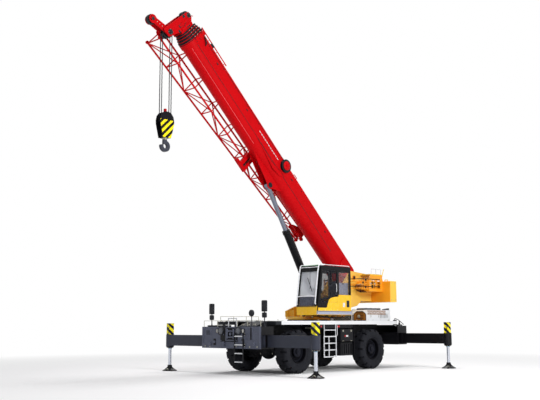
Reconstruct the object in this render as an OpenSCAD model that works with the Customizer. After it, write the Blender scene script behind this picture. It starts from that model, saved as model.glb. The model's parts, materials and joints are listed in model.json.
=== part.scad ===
// Two-axle rough-terrain mobile crane on its outriggers, boom raised over the front.
// Millimetres, +X forward, +Y left, +Z up, ground at zero.

/* [Carrier] */
// Distance between the two axles
wheelbase = 4200; // [4120:10:4300]
// Width over the tyres
carrier_w = 2980; // [2940:10:3060]
// Height of the deck's walking surface
deck_z = 1790; // [1770:5:1820]
// Depth of the deck's edge strip
deck_edge = 120; // [90:5:150]
// Front face of the front outrigger box, from the slew axis
front_x = 3970; // [3930:10:4030]
// Rear face of the rear outrigger box, from the slew axis
rear_x = 4350; // [4310:2:4410]
// Width of the main frame box
frame_w = 900; // [820:10:940]
// Top of the engine hood
hood_z = 2230; // [2180:10:2250]

/* [Wheels] */
// Tyre diameter over the lugs
tyre_d = 1490; // [1460:5:1500]
// Tyre width
tyre_w = 520; // [480:5:530]
// Rim diameter where the bead sits
rim_d = 790; // [770:5:810]
// Lugs along each side of the tread
lug_count = 14; // [12:1:18]
// Depth of the tread between lugs
lug_h = 45; // [30:1:60]

/* [Outriggers] */
// Distance of each pad's centre from the middle plane
reach = 3470; // [3400:10:3600]
// Width of an outrigger beam
beam_w = 240; // [220:5:250]
// Depth of an outrigger beam
beam_h = 390; // [360:5:410]
// Height of the beam's top face
beam_top = 1315; // [1290:5:1330]
// Radius of the ground pad
pad_r = 270; // [240:5:290]

/* [Superstructure] */
// Height of the boom foot pin
foot_z = 3510; // [3480:5:3540]
// Distance of the boom foot pin behind the slew axis
foot_back = 2330; // [2300:10:2360]
// Radius of the slew ring
ring_r = 740; // [700:10:780]
// Width of the counterweight
cwt_w = 2700; // [2500:20:2760]

/* [Cab] */
// Height of the cab's roof
cab_top = 3800; // [3760:10:3830]
// Front of the cab, from the slew axis
cab_front = 1070; // [1040:10:1100]
// Rear of the cab, from the slew axis
cab_rear = 900; // [870:10:930]

/* [Boom] */
// Boom angle above level in the stored pose
boom_angle = 44; // [43:0.1:45]
// Half width of the base section
boom_hw = 320; // [314:1:326]
// Depth of the base section
boom_depth = 840; // [830:5:850]
// Front end of the base section, from the foot pin
boom_len = 11410; // [11320:10:11500]
// Wall of every section
boom_wall = 14; // [12:1:16]
// Running gap between sections
boom_gap = 10; // [8:1:12]

/* [Hook] */
// Drop of the hook block's sheave axis below the head sheaves
hook_drop = 3060; // [2980:20:3140]
// Diameter of the hoist rope
rope_d = 22; // [18:1:26]

/* [Hidden] */
$fn = 64;
eps = 1;
run_gap = 6;
seat = 0.3;
axle_x = wheelbase / 2;
axle_z = tyre_d / 2;
tyre_y = carrier_w / 2 - tyre_w / 2;
king_in = 70;
king_y = tyre_y - tyre_w / 2 - king_in;
king_r = 85;
fork_h = 165;
fork_t = 70;
frame_bot = 1120;
deck_t = 20;
frame_top = deck_z - deck_t;
edge_bot = deck_z - deck_edge;
deck_hy = carrier_w / 2 - 10;
wall = 30;
slot_gap = 10;
boss_t = slot_gap - 6;
box_len = 2 * beam_w + 4 * slot_gap + 3 * wall;
box_hy = carrier_w / 2 - 20;
box_bot = beam_top - beam_h - 50;
box_top = beam_top + 30;
bump_top = 1610;
beam_bot = beam_top - beam_h;
pitch = beam_w + 2 * slot_gap + wall;
beam_fr = front_x - wall - slot_gap - beam_w / 2;
beam_fl = beam_fr - pitch;
beam_rl = -(rear_x - wall - slot_gap - beam_w / 2);
beam_rr = beam_rl + pitch;
front_in = front_x - box_len;
rear_in = -(rear_x - box_len);
deck_front = front_in - 110;
deck_rear = rear_in + 60;
lug_gap = 78;
lug_lean = -14;
jack_r = 150;
rod_r = 58;
post_w = 190;
ring_z = 1850;
table_z0 = ring_z + seat;
table_z1 = 1880;
table_z2 = 1960;
cheek_in = boom_hw + 55;
cheek_out = cheek_in + 50;
disc_r = ring_r + 80;
hood_hy = 1200;
hood_x1 = -2080;
bay_y0 = 950;
bay_y1 = 990;
foot_x = -foot_back;
pin_r = 70;
lift_x = -573;
lift_z = 2250;
lift_pin_r = 60;
lug_in = 170;
lug_out = 212;
cwt_x0 = -4020;
cwt_x1 = -3490;
cwt_z0 = 2550;
cwt_z1 = 3380;
tail_t = 40;
bay_x0 = -3300;
bay_x1 = -2560;
cab_y0 = cheek_out + 5;
cab_y1 = 1400;
cab_z0 = 2010;
cab_x0 = -cab_rear;
cab_x1 = cab_front;
cab_t = 60;
floor_t = 60;
belt_front = 2330;
cab_lean = 220;
belt_side = 2750;
post_x = -120;
glass_t = 12;
roof_z = cab_top - cab_t;
door_x0 = post_x + 4;
door_x1 = cab_x1 - 20;
door_y0 = cab_y1 + 8;
door_t = 42;
door_z0 = 2156;
door_z1 = roof_z - 10;
rail_top = door_z0 - seat;
top_w = 338;
bot_w = top_w - boom_depth;
step = boom_wall + boom_gap;
collar_t = 80;
collar_gap = 10;
eye_u = 5450;
eye_w = -759;
eye_r = 115;
rod_d = 175;
barrel_d = 275;
barrel_len = 3380;
lift_y0 = 95;
lift_y1 = 135;
rod_in = 1900;
head_u = boom_len + 4 * (collar_t + collar_gap) + 50;
sheave_u = head_u + 290;
sheave_w = -807;
sheave_r = 170;
sheave_y0 = 20;
sheave_y1 = 90;
top_sheave_u = sheave_u;
top_sheave_w = 298;
nose_u = sheave_u + 685;
nose_w = -1040;
nose_y0 = sheave_y1 + 10;
nose_y1 = nose_y0 + 26;
nose_r = 170;
head_hw = boom_hw - 4 * step;
head_t = 26;
ca = cos(boom_angle);
sa = sin(boom_angle);
eye_x = foot_x + eye_u * ca - eye_w * sa;
eye_z = foot_z + eye_u * sa + eye_w * ca;
lift_angle = atan2(eye_z - lift_z, eye_x - lift_x);
lift_len = sqrt(pow(eye_x - lift_x, 2) + pow(eye_z - lift_z, 2));
hang_x = foot_x + sheave_u * ca - sheave_w * sa;
hang_z = foot_z + sheave_u * sa + sheave_w * ca;
block_z = hang_z - hook_drop;
nose_x = foot_x + nose_u * ca - nose_w * sa;
lamp_t = 24;
hook_bowl = 810;
origin_x = (nose_x + nose_r - max(rear_x + lamp_t, pad_r - beam_rl)) / 2;
jib_y0 = -boom_hw - 185;
jib_w1 = 120;
jib_d = 70;
jib_u0 = 2500;
jib_u1 = 12050;
jib_n = 9;

module place() translate([-origin_x, 0, 0]) children();
module box(x0, x1, y0, y1, z0, z1) translate([x0, y0, z0]) cube([x1 - x0, y1 - y0, z1 - z0]);
module ycyl(x, z, r, y0, y1) translate([x, y0, z]) rotate([-90, 0, 0]) cylinder(r = r, h = y1 - y0);
module xcyl(y, z, r, x0, x1) translate([x0, y, z]) rotate([0, 90, 0]) cylinder(r = r, h = x1 - x0);
module zcyl(x, y, r, z0, z1) translate([x, y, z0]) cylinder(r = r, h = z1 - z0);
module slab(pts, y0, y1) translate([0, y1, 0]) rotate([90, 0, 0]) linear_extrude(y1 - y0) polygon(pts);
module bar(p, q, d, n = 8) {
    v = q - p;
    l = norm(v);
    translate(p) rotate([0, acos(v[2] / l), atan2(v[1], v[0])]) cylinder(d = d, h = l, $fn = n);
}
module both() {
    children();
    mirror([0, 1, 0]) children();
}
module on_boom() translate([foot_x, 0, foot_z]) rotate([0, -boom_angle, 0]) children();
module on_lift() translate([eye_x, 0, eye_z]) rotate([0, -lift_angle, 0]) children();

// Welded box frame with the slew pedestal
module carrier_frame() color([0.16, 0.17, 0.19]) place() difference() {
    union() {
        box(rear_in, front_in, -frame_w / 2, frame_w / 2, frame_bot, frame_top);
        box(-820, 820, -1150, 1150, 1500, edge_bot);
        zcyl(0, 0, ring_r + 20, edge_bot, ring_z);
    }
    box(rear_in - eps, front_in + eps, -frame_w / 2 + wall, frame_w / 2 - wall, frame_bot + wall, frame_top - wall);
    box(-790, 790, -1120, 1120, 1530, edge_bot - wall);
    zcyl(0, 0, ring_r - 180, frame_top - wall - eps, ring_z + eps);
}

module outrigger_box(x0, x1) {
    difference() {
        box(x0, x1, -box_hy, box_hy, box_bot, box_top);
        for (k = [0, 1]) {
            s = x0 + wall + k * pitch;
            box(s, s + beam_w + 2 * slot_gap, -box_hy - eps, box_hy + eps, beam_bot - slot_gap, beam_top + slot_gap);
        }
    }
    both() for (k = [0, 1]) {
        s = x0 + wall + slot_gap + k * pitch;
        box(s + 20, s + beam_w - 20, box_hy - 120, box_hy, beam_bot - slot_gap - eps, beam_bot - seat);
    }
}

// Front box with both beam tunnels, bumper face and towing lug
module front_outrigger_box() color([0.17, 0.18, 0.2]) place() difference() {
    union() {
        outrigger_box(front_in, front_x);
        box(front_x - wall, front_x, -box_hy, box_hy, box_top, bump_top);
        box(front_in, front_x - wall, -box_hy, box_hy, bump_top - wall, bump_top);
        both() box(front_in, front_x - wall, box_hy - wall, box_hy, box_top, bump_top - wall);
        slab([[front_x, 930], [front_x + 90, 930], [front_x + 90, 1070], [front_x, 1110]], -325, -275);
    }
    ycyl(front_x + 45, 1000, 32, -330, -270);
}

// Rear box with both beam tunnels and towing lug
module rear_outrigger_box() color([0.17, 0.18, 0.2]) place() difference() {
    union() {
        outrigger_box(-rear_x, rear_in);
        box(-rear_x, -rear_x + wall, -box_hy, box_hy, box_top, bump_top);
        box(-rear_x + wall, rear_in, -box_hy, box_hy, bump_top - wall, bump_top);
        both() box(-rear_x + wall, rear_in, box_hy - wall, box_hy, box_top, bump_top - wall);
        slab([[-rear_x, 930], [-rear_x - 20, 930], [-rear_x - 20, 1070], [-rear_x, 1110]], -120, -70);
    }
}

module axle() {
    ycyl(0, axle_z, 140, -king_y + 190, king_y - 190);
    translate([0, 0, axle_z]) sphere(r = 290);
    both() {
        box(-130, 130, king_y - 215, king_y - 150, axle_z - fork_h - fork_t, axle_z + fork_h + fork_t);
        for (s = [-1, 1]) {
            z0 = s > 0 ? axle_z + fork_h + seat : axle_z - fork_h - fork_t;
            box(-100, 100, king_y - 160, king_y, z0, z0 + fork_t - seat);
            zcyl(0, king_y, 100, z0, z0 + fork_t - seat);
        }
        box(-160, 160, 230, 400, axle_z, frame_bot);
    }
}

// Both drive axles with their forks
module axle_housings() color([0.14, 0.14, 0.15]) place() {
    translate([axle_x, 0, 0]) axle();
    translate([-axle_x, 0, 0]) axle();
}

// Transfer case under the frame with a shaft to each axle
module drive_line() color([0.2, 0.2, 0.21]) place() {
    box(-330, 330, -210, 210, 720, frame_bot);
    xcyl(0, axle_z + 40, 48, -axle_x + 292, axle_x - 292);
}

// Deck plate with its pale edge strip
module deck() color([0.82, 0.83, 0.84]) place() difference() {
    box(deck_rear, deck_front, -deck_hy, deck_hy, edge_bot, deck_z);
    box(deck_rear + 40, deck_front - 40, -deck_hy + 40, deck_hy - 40, edge_bot - eps, frame_top);
    box(deck_rear - eps, deck_front + eps, -frame_w / 2 - 5, frame_w / 2 + 5, edge_bot - eps, frame_top);
    zcyl(0, 0, ring_r + 30, edge_bot - eps, deck_z + eps);
}

// Mud flaps and side skirts under the deck
module fenders() color([0.06, 0.06, 0.07]) place() both() {
    flap = axle_x - 1140;
    for (x = [-flap, flap]) box(x - 8, x + 8, 620, deck_hy - 5, 560, edge_bot);
    box(8 - flap, flap - 8, deck_hy - 66, deck_hy - 46, 1540, edge_bot);
}

// Pale engine hood on the rear deck, with a louvred front and side vents
module engine_hood() color([0.82, 0.83, 0.84]) place() difference() {
    t = 25;
    x0 = deck_rear + 40;
    slab([[hood_x1, deck_z], [hood_x1, hood_z - 130], [hood_x1 - 120, hood_z], [x0, hood_z], [x0, deck_z]],
        -hood_hy, hood_hy);
    slab([[hood_x1 - t, deck_z - eps], [hood_x1 - t, hood_z - 140], [hood_x1 - 130, hood_z - t],
        [x0 + t, hood_z - t], [x0 + t, deck_z - eps]], t - hood_hy, hood_hy - t);
    for (z = [deck_z + 60:50:hood_z - 190]) both() box(hood_x1 - 2 * t, hood_x1 + eps, 470, hood_hy - 80, z, z + 24);
    for (k = [0:5]) both() box(x0 + 180 + k * 90, x0 + 225 + k * 90, hood_hy - 2 * t, hood_hy + eps,
        deck_z + 120, hood_z - 130);
}

// Exhaust silencer lying along the hood, with its turned-out tail pipe
module exhaust_box() color([0.2, 0.2, 0.21]) place() difference() {
    union() {
        slab([[-3180, hood_z], [-2240, hood_z], [-2240, hood_z + 40], [-2290, hood_z + 68], [-3130, hood_z + 68],
            [-3180, hood_z + 40]], 600, 980);
        for (x = [-3000, -2700, -2400]) box(x - 20, x + 20, 590, 990, hood_z, hood_z + 72);
        ycyl(-3080, hood_z + 36, 34, 900, 1120);
    }
    ycyl(-3080, hood_z + 36, 28, 1000, 1121);
}

// Engine as one plain block
module engine_block() color([0.25, 0.25, 0.26]) place() box(-3180, -2380, -380, 380, deck_z, hood_z - 60);

// Tool and battery box on the left side
module tool_box() color([0.1, 0.1, 0.11]) place() {
    box(-940, -190, 1060, 1445, 1050, 1500);
    difference() {
        box(-880, -190, 1080, 1430, 540, 1010);
        for (k = [0:4]) box(-830 + k * 130, -780 + k * 130, 1390, 1430 + eps, 600, 950);
    }
    for (x = [-800, -330]) box(x - 40, x + 40, 1100, 1160, 1010, 1050);
    box(-900, -500, frame_w / 2, 1060, 1250, 1350);
}

// Fuel tank on the right side
module fuel_tank() color([0.1, 0.1, 0.11]) place() {
    xcyl(-1180, 1100, 270, -930, -150);
    box(-900, -300, -1180, -frame_w / 2, 1150, 1250);
}

module side_ladder() {
    for (x = [80, 480, 750]) box(x - 15, x + 15, deck_hy - 40, deck_hy - 10, 500, 1240);
    for (z = [520, 760, 1000, 1240]) box(65, 765, deck_hy - 40, deck_hy - 10, z - 16, z + 16);
    for (x = [95, 735]) box(x - 12, x + 12, deck_hy - 34, deck_hy - 16, 1240, edge_bot);
    box(83, 747, deck_hy - 40, deck_hy - 10, 1455, 1487);
}

// Ladders at the front and on both sides
module ladders() color([0.75, 0.76, 0.78]) place() {
    both() side_ladder();
    for (y = [295, 709]) {
        box(front_x + 70, front_x + 100, y - 15, y + 15, 380, 1400);
        box(front_x, front_x + 70, y - 15, y + 15, 1340, 1380);
        box(front_x, front_x + 70, y - 15, y + 15, 960, 1000);
    }
    for (k = [0:3]) box(front_x + 70, front_x + 100, 310, 694, 415 + k * 285, 445 + k * 285);
}

// Head lamps, turn lamps and tail lamps
module carrier_lamps() color([0.9, 0.9, 0.86]) place() {
    for (y = [-467, 414]) xcyl(y, 1464, 115, front_x, front_x + 40);
    for (y = [-690, 600]) box(front_x, front_x + 30, y, y + 90, 1410, 1520);
    both() box(-rear_x - lamp_t, -rear_x, 1050, 1380, 1420, 1530);
}

module mirror_arm(x, y, z) {
    zcyl(x, y, 18, bump_top, z + 30);
    for (h = [[z, 380, 105], [z - 200, 175, 85]]) translate([x - 30, y, h[0]]) hull() for (e = [-1, 1], k = [0, 1])
        translate([0, e * (h[2] - 40), 40 + k * (h[1] - 80)]) rotate([0, 90, 0]) cylinder(r = 40, h = 70, $fn = 24);
}

// Driving mirrors on their posts
module mirrors() color([0.05, 0.05, 0.055]) place() {
    mirror_arm(front_x - 300, 1350, 2105);
    mirror_arm(front_x - 350, -1350, 2045);
    zcyl(front_x - 40, 1000, 14, bump_top, 2000);
    translate([front_x - 60, 1000, 2060]) rotate([0, 90, 0]) cylinder(r = 110, h = 50);
}

// Hoop rails on the front box
module front_rails() color([0.75, 0.76, 0.78]) place() {
    for (y = [-280, 120]) zcyl(front_x - 170, y, 16, bump_top, 1889);
    ycyl(front_x - 170, 1889, 16, -296, 136);
}

module knuckle() {
    zcyl(0, king_y, king_r, axle_z - fork_h, axle_z + fork_h);
    ycyl(0, axle_z, 120, king_y, tyre_y + 20 - seat);
    ycyl(0, axle_z, 200, king_y + 106, king_y + 130);
    box(-290, 0, king_y - 40, king_y + 10, axle_z - 150, axle_z - 100);
}

// Steering knuckles with their spindles
module knuckle_fl() color([0.14, 0.14, 0.15]) place() translate([axle_x, 0, 0]) knuckle();
module knuckle_fr() color([0.14, 0.14, 0.15]) place() translate([axle_x, 0, 0]) mirror([0, 1, 0]) knuckle();
module knuckle_rl() color([0.14, 0.14, 0.15]) place() translate([-axle_x, 0, 0]) mirror([1, 0, 0]) knuckle();
module knuckle_rr() color([0.14, 0.14, 0.15]) place() translate([-axle_x, 0, 0]) rotate([0, 0, 180]) knuckle();

module tyre() translate([0, tyre_y, axle_z]) rotate([-90, 0, 0]) difference() {
    r = tyre_d / 2;
    b = rim_d / 2;
    h = tyre_w / 2;
    rotate_extrude() polygon([[b, -h * 0.77], [b + 70, -h * 0.95], [r - 165, -h], [r - 95, -h * 0.99],
        [r - 30, -h * 0.9], [r, -h * 0.74], [r, h * 0.74], [r - 30, h * 0.9], [r - 95, h * 0.99], [r - 165, h],
        [b + 70, h * 0.95], [b, h * 0.77]]);
    for (s = [0, 1], k = [0:lug_count - 1]) mirror([0, 0, s]) rotate([0, 0, (k + s / 2) * 360 / lug_count])
        translate([r - lug_h, 0, h * 0.16]) rotate([0, lug_lean, 0]) translate([0, -lug_gap / 2, 0])
            cube([2 * lug_h + 80, lug_gap, h * 1.2]);
}

// Tyres, out to the lugs' tips
module tyre_fl() color([0.05, 0.05, 0.055]) place() translate([axle_x, 0, 0]) tyre();
module tyre_fr() color([0.05, 0.05, 0.055]) place() translate([axle_x, 0, 0]) mirror([0, 1, 0]) tyre();
module tyre_rl() color([0.05, 0.05, 0.055]) place() translate([-axle_x, 0, 0]) tyre();
module tyre_rr() color([0.05, 0.05, 0.055]) place() translate([-axle_x, 0, 0]) mirror([0, 1, 0]) tyre();

module rim() translate([0, tyre_y, axle_z]) rotate([-90, 0, 0]) {
    b = rim_d / 2;
    rotate_extrude() polygon([[b - 32, -205], [b - 0.5, -205], [b - 0.5, 205], [b - 32, 205],
        [b - 32, 60], [0, 60], [0, 20], [b - 32, 20]]);
    translate([0, 0, 20]) cylinder(r = 190, h = 130);
    translate([0, 0, 20]) cylinder(r = 95, h = 180);
}

// Dished rims with the planetary hub caps
module rim_fl() color([0.12, 0.12, 0.13]) place() translate([axle_x, 0, 0]) rim();
module rim_fr() color([0.12, 0.12, 0.13]) place() translate([axle_x, 0, 0]) mirror([0, 1, 0]) rim();
module rim_rl() color([0.12, 0.12, 0.13]) place() translate([-axle_x, 0, 0]) rim();
module rim_rr() color([0.12, 0.12, 0.13]) place() translate([-axle_x, 0, 0]) mirror([0, 1, 0]) rim();

module beam() difference() {
    union() {
        box(-beam_w / 2, beam_w / 2, 790, reach, beam_bot, beam_top);
        zcyl(0, reach, jack_r, beam_bot - 40, beam_top + 12);
        box(-post_w / 2, post_w / 2, reach - post_w / 2, reach + post_w / 2, beam_top, 1735);
        zcyl(0, reach, 130, beam_bot - 70, beam_bot);
        zcyl(0, reach, 84, beam_bot - 100, beam_bot);
        xcyl(reach - 430, beam_bot + beam_h / 2, 100, -beam_w / 2 - boss_t, beam_w / 2 + boss_t);
    }
    box(-beam_w / 2 + 20, beam_w / 2 - 20, 790 - eps, reach - 320, beam_bot + 20, beam_top - 20);
    zcyl(0, reach, rod_r + seat, beam_bot - 101, 1700);
}

// Outrigger beams with their upright jack barrels
module beam_fl() color([0.2, 0.21, 0.24]) place() translate([beam_fl, 0, 0]) beam();
module beam_fr() color([0.2, 0.21, 0.24]) place() translate([beam_fr, 0, 0]) mirror([0, 1, 0]) beam();
module beam_rl() color([0.2, 0.21, 0.24]) place() translate([beam_rl, 0, 0]) beam();
module beam_rr() color([0.2, 0.21, 0.24]) place() translate([beam_rr, 0, 0]) mirror([0, 1, 0]) beam();

module jack() translate([0, reach, 0]) {
    zcyl(0, 0, rod_r, 150, 1120);
    rotate_extrude() polygon([[0, 0], [pad_r, 0], [pad_r, 25], [90, 110], [80, 200], [0, 200]]);
}

// Jack rods with their ground pads
module jack_fl() color([0.7, 0.71, 0.73]) place() translate([beam_fl, 0, 0]) jack();
module jack_fr() color([0.7, 0.71, 0.73]) place() translate([beam_fr, 0, 0]) mirror([0, 1, 0]) jack();
module jack_rl() color([0.7, 0.71, 0.73]) place() translate([beam_rl, 0, 0]) jack();
module jack_rr() color([0.7, 0.71, 0.73]) place() translate([beam_rr, 0, 0]) mirror([0, 1, 0]) jack();

// Slewing frame: ring, round base plate, cheeks, tail, winch bay and lift cylinder lugs
module turntable_frame() color([0.95, 0.6, 0.1]) place() {
    difference() {
        union() {
            zcyl(0, 0, ring_r, table_z0, table_z1);
            zcyl(0, 0, disc_r, table_z1, table_z2);
        }
        zcyl(0, 0, ring_r - 180, table_z0 - eps, table_z1 + eps);
    }
    both() slab([[-1450, table_z2], [760, table_z2], [760, 2180], [250, 2360], [-500, 2360], [-1150, 2700],
        [foot_x + 420, foot_z + 60], [foot_x + 200, foot_z + 260], [foot_x - 500, foot_z + 200], [bay_x0, foot_z + 160],
        [cwt_x1, cwt_z1], [cwt_x1, 2600], [-2780, 2600], [-2500, 2400], [-2150, 2330], [-1650, 2000]],
        cheek_in, cheek_out);
    both() slab([[lift_x - 330, table_z2], [lift_x + 330, table_z2], [lift_x + 90, lift_z + 70],
        [lift_x - 90, lift_z + 70]], lug_in, lug_out);
    for (x = [-660, 520]) both() box(x, x + 60, lug_out - 60, cheek_in, table_z2, 2200);
    box(cwt_x1, -2600, -cheek_in, cheek_in, 2600, 2640);
    box(-1450, -1400, -cheek_in, cheek_in, table_z2, 2300);
    box(cwt_x1, cwt_x1 + tail_t, -cwt_w / 2, cwt_w / 2, cwt_z0, cwt_z1 - 20);
    both() winch_bay();
    ycyl(foot_x, foot_z, pin_r, -cheek_out - 25, cheek_out + 25);
}
module winch_bay() {
    box(cwt_x1, bay_x1, cheek_out, bay_y1, 2960, 2990);
    difference() {
        slab([[cwt_x1, 2960], [bay_x1, 2960], [bay_x1, 3420], [bay_x1 - 180, 3640], [cwt_x1 + 80, 3640], [cwt_x1, 3380]],
            bay_y0, bay_y1);
        for (x = [bay_x1 - 420, bay_x1 - 760]) box(x, x + 250, bay_y0 - eps, bay_y1 + eps, 3080, 3400);
    }
    box(bay_x1 - 60, bay_x1, cheek_out, bay_y0, 2990, 3400);
    box(cwt_x1, bay_x1 - 180, cheek_out, bay_y0, 3610, 3640);
}

// Counterweight slab across the tail
module counterweight() color([0.98, 0.75, 0.2]) place() {
    c = 120;
    h = cwt_w / 2;
    translate([0, 0, cwt_z0]) linear_extrude(cwt_z1 - cwt_z0) polygon([[cwt_x1, -h], [cwt_x1, h], [cwt_x0 + c, h],
        [cwt_x0, h - c], [cwt_x0, c - h], [cwt_x0 + c, -h]]);
}

module drum(x, z, r) {
    ycyl(x, z, r, 60 - cheek_in, cheek_in - 60);
    both() ycyl(x, z, r + 40, cheek_in - 70, cheek_in - 40);
    ycyl(x, z, 110, -cheek_in, cheek_in);
}

// Main and auxiliary winch
module hoist_winches() color([0.12, 0.12, 0.13]) place() {
    drum(-2960, 2960, 230);
    drum(-3180, 3420, 150);
    both() for (x = [-3060, -2760]) zcyl(x, 700, 120, 2990, 3400);
}

// Yellow lower cab: floor, front panel, walls up to the belt and the door rail
module cab_lower() color([0.98, 0.75, 0.15]) place() {
    t = cab_t;
    f = cab_z0 + floor_t;
    box(cab_x0, cab_x1, cab_y0, cab_y1, cab_z0, f);
    box(cab_x1 - t, cab_x1, cab_y0, cab_y1, f, belt_front);
    box(cab_x0, cab_x0 + t, cab_y0, cab_y1, f, belt_side);
    slab([[cab_x0 + t, f], [cab_x1 - t, f], [cab_x1 - t, belt_front], [front_at(belt_side) - t, belt_side],
        [cab_x0 + t, belt_side]], cab_y0, cab_y0 + t);
    box(cab_x0 + t, post_x, cab_y1 - t, cab_y1, f, belt_side);
    box(cab_x0, cab_x1, cab_y1, cab_y1 + 52, cab_z0 + 20, rail_top);
    for (x = [-560, 640]) box(x - 90, x + 90, cab_y0, 690, table_z2, cab_z0);
}

function front_at(z) = cab_x1 - cab_lean * (z - belt_front) / (roof_z - belt_front);
module front_slab(back, fore, y0, y1) slab([[cab_x1 - back, belt_front], [cab_x1 - fore, belt_front],
    [front_at(roof_z) - fore, roof_z], [front_at(roof_z) - back, roof_z]], y0, y1);

// Dark cab frame: posts and roof
module cab_frame() color([0.07, 0.07, 0.08]) place() {
    t = cab_t;
    for (y = [cab_y0, cab_y1 - t]) front_slab(t, 0, y, y + t);
    for (y = [cab_y0, cab_y1 - t]) box(cab_x0, cab_x0 + t, y, y + t, belt_side, roof_z);
    box(post_x - t, post_x, cab_y1 - t, cab_y1, belt_side, roof_z);
    difference() {
        box(cab_x0, front_at(roof_z), cab_y0, cab_y1, roof_z, cab_top);
        box(-250, front_at(roof_z) - 130, cab_y0 + 110, cab_y1 - 110, roof_z - eps, cab_top + eps);
    }
}

// Fixed panes of the cab
module cab_glass() color([0.3, 0.4, 0.4, 0.4]) place() {
    t = cab_t;
    m = (t - glass_t) / 2;
    front_slab(t - m, m, cab_y0 + t, cab_y1 - t);
    box(cab_x0 + m, cab_x0 + t - m, cab_y0 + t, cab_y1 - t, belt_side, roof_z);
    slab([[cab_x0 + t, belt_side], [front_at(belt_side) - t, belt_side], [front_at(roof_z) - t, roof_z],
        [cab_x0 + t, roof_z]], cab_y0 + m, cab_y0 + t - m);
    box(cab_x0 + t, post_x - t, cab_y1 - t + m, cab_y1 - m, belt_side, roof_z);
    box(-250, front_at(roof_z) - 130, cab_y0 + 110, cab_y1 - 110, roof_z + m, cab_top - m);
}

// Operator's seat on its pedestal
module operator_seat() color([0.16, 0.16, 0.17]) place() {
    f = cab_z0 + floor_t;
    box(-340, 0, 800, 1140, f, f + 330);
    box(-460, 90, 730, 1210, f + 330, f + 450);
    slab([[-470, f + 450], [-330, f + 450], [-430, f + 1150], [-530, f + 1150]], 740, 1200);
}

// Side consoles, front console, steering column and wheel
module cab_controls() color([0.1, 0.1, 0.11]) place() {
    f = cab_z0 + floor_t;
    for (y = [cab_y0 + 75, cab_y1 - 160]) {
        slab([[-300, f], [40, f], [40, f + 480], [260, f + 560], [240, f + 620], [-300, f + 560]], y, y + 90);
        translate([180, y + 45, f + 560]) cylinder(r = 18, h = 170);
    }
    slab([[700, f], [930, f], [930, f + 240], [640, f + 660], [560, f + 620], [700, f + 420]], 800, 1140);
    translate([600, 970, f + 620]) rotate([0, -25, 0]) cylinder(r = 35, h = 230);
    translate([600, 970, f + 620]) rotate([0, -25, 0]) translate([0, 0, 215]) difference() {
        cylinder(r = 190, h = 30);
        for (k = [0:2]) rotate([0, 0, k * 120]) translate([0, 0, -eps]) linear_extrude(40)
            polygon([[30, 60], [150, 60], [120, 110], [30, 150]]);
    }
}

module door_shape(y0, y1) slab([[door_x0, door_z0], [door_x1, door_z0], [door_x1, belt_front],
    [front_at(door_z1) - 20, door_z1], [door_x0, door_z1]], y0, y1);

// Sliding door outside the cab wall
module door_panel() color([0.07, 0.07, 0.08]) place() difference() {
    door_shape(door_y0, door_y0 + door_t);
    door_pane(door_y0 - eps, door_y0 + door_t + eps);
}
module door_pane(y0, y1) slab([[door_x0 + 80, belt_front + 130], [front_at(belt_front + 130) - 110, belt_front + 130],
    [front_at(door_z1 - 80) - 110, door_z1 - 80], [door_x0 + 80, door_z1 - 80]], y0, y1);
module door_glass() color([0.3, 0.4, 0.4, 0.4]) place() {
    m = (door_t - glass_t) / 2;
    door_pane(door_y0 + m, door_y0 + door_t - m);
}

module shell_profile(k, grow) {
    hw = boom_hw - k * step + grow;
    top = top_w - k * step + grow;
    bot = bot_w + k * step - grow;
    translate([-hw, bot + hw]) square([2 * hw, top - bot - hw]);
    translate([0, bot + hw]) circle(hw);
}
module run(u0, u1) translate([u0, 0, 0]) rotate([90, 0, 90]) linear_extrude(u1 - u0) children();
module section(k, u0, u1) difference() {
    union() {
        run(u0, u1) shell_profile(k, 0);
        if (k > 0) run(u1 - collar_t, u1) shell_profile(k, 2 * step);
        if (k == 0) run(u1 - 2 * collar_t, u1) shell_profile(k, 30);
    }
    run(u0 - eps, k < 4 ? u1 - 60 : u1 + eps) shell_profile(k, -boom_wall);
    if (k < 4) run(u1 - 60 - eps, u1 + eps) shell_profile(k, seat - step);
}
function sec_end(k) = boom_len + k * (collar_t + collar_gap);

// Base section with foot and cylinder lugs
module boom_base() color([0.85, 0.06, 0.08]) place() on_boom() {
    difference() {
        union() {
            section(0, 180, boom_len);
            both() slab([[-190, -60], [-110, -190], [60, -210], [600, -440], [900, -300], [900, 240], [180, 290],
                [-60, 190], [-190, 70]], boom_hw - 40, boom_hw + 45);
            both() slab([[eye_u - 620, -300], [eye_u + 620, -300], [eye_u + 620, -480], [eye_u + 150, eye_w - 60],
                [eye_u + 60, eye_w - 125], [eye_u - 60, eye_w - 125], [eye_u - 140, eye_w - 60], [eye_u - 200, -610],
                [eye_u - 430, -480]], lift_y0, lift_y1);
        }
        run(180 - eps, boom_len - 60) shell_profile(0, -boom_wall);
        run(boom_len - 60 - eps, boom_len + eps) shell_profile(0, seat - step);
        ycyl(0, 0, pin_r + seat, -boom_hw - 50, boom_hw + 50);
    }
    ycyl(eye_u, eye_w, 56 - seat, 10 - lift_y1, lift_y1 - 10);
}

function jib_t(u) = (u - jib_u0) / (jib_u1 - jib_u0);
function jib_lo(u) = -395 - 327 * jib_t(u);
function jib_out(u) = jib_y0 - 277 - 410 * jib_t(u);
function jib_pt(c, u) = [u, c % 2 == 0 ? jib_y0 : jib_out(u), c < 2 ? jib_w1 : jib_lo(u)];
function jib_bay(k) = jib_u0 + 40 + (jib_u1 - jib_u0 - 80) * k / jib_n;

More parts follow.
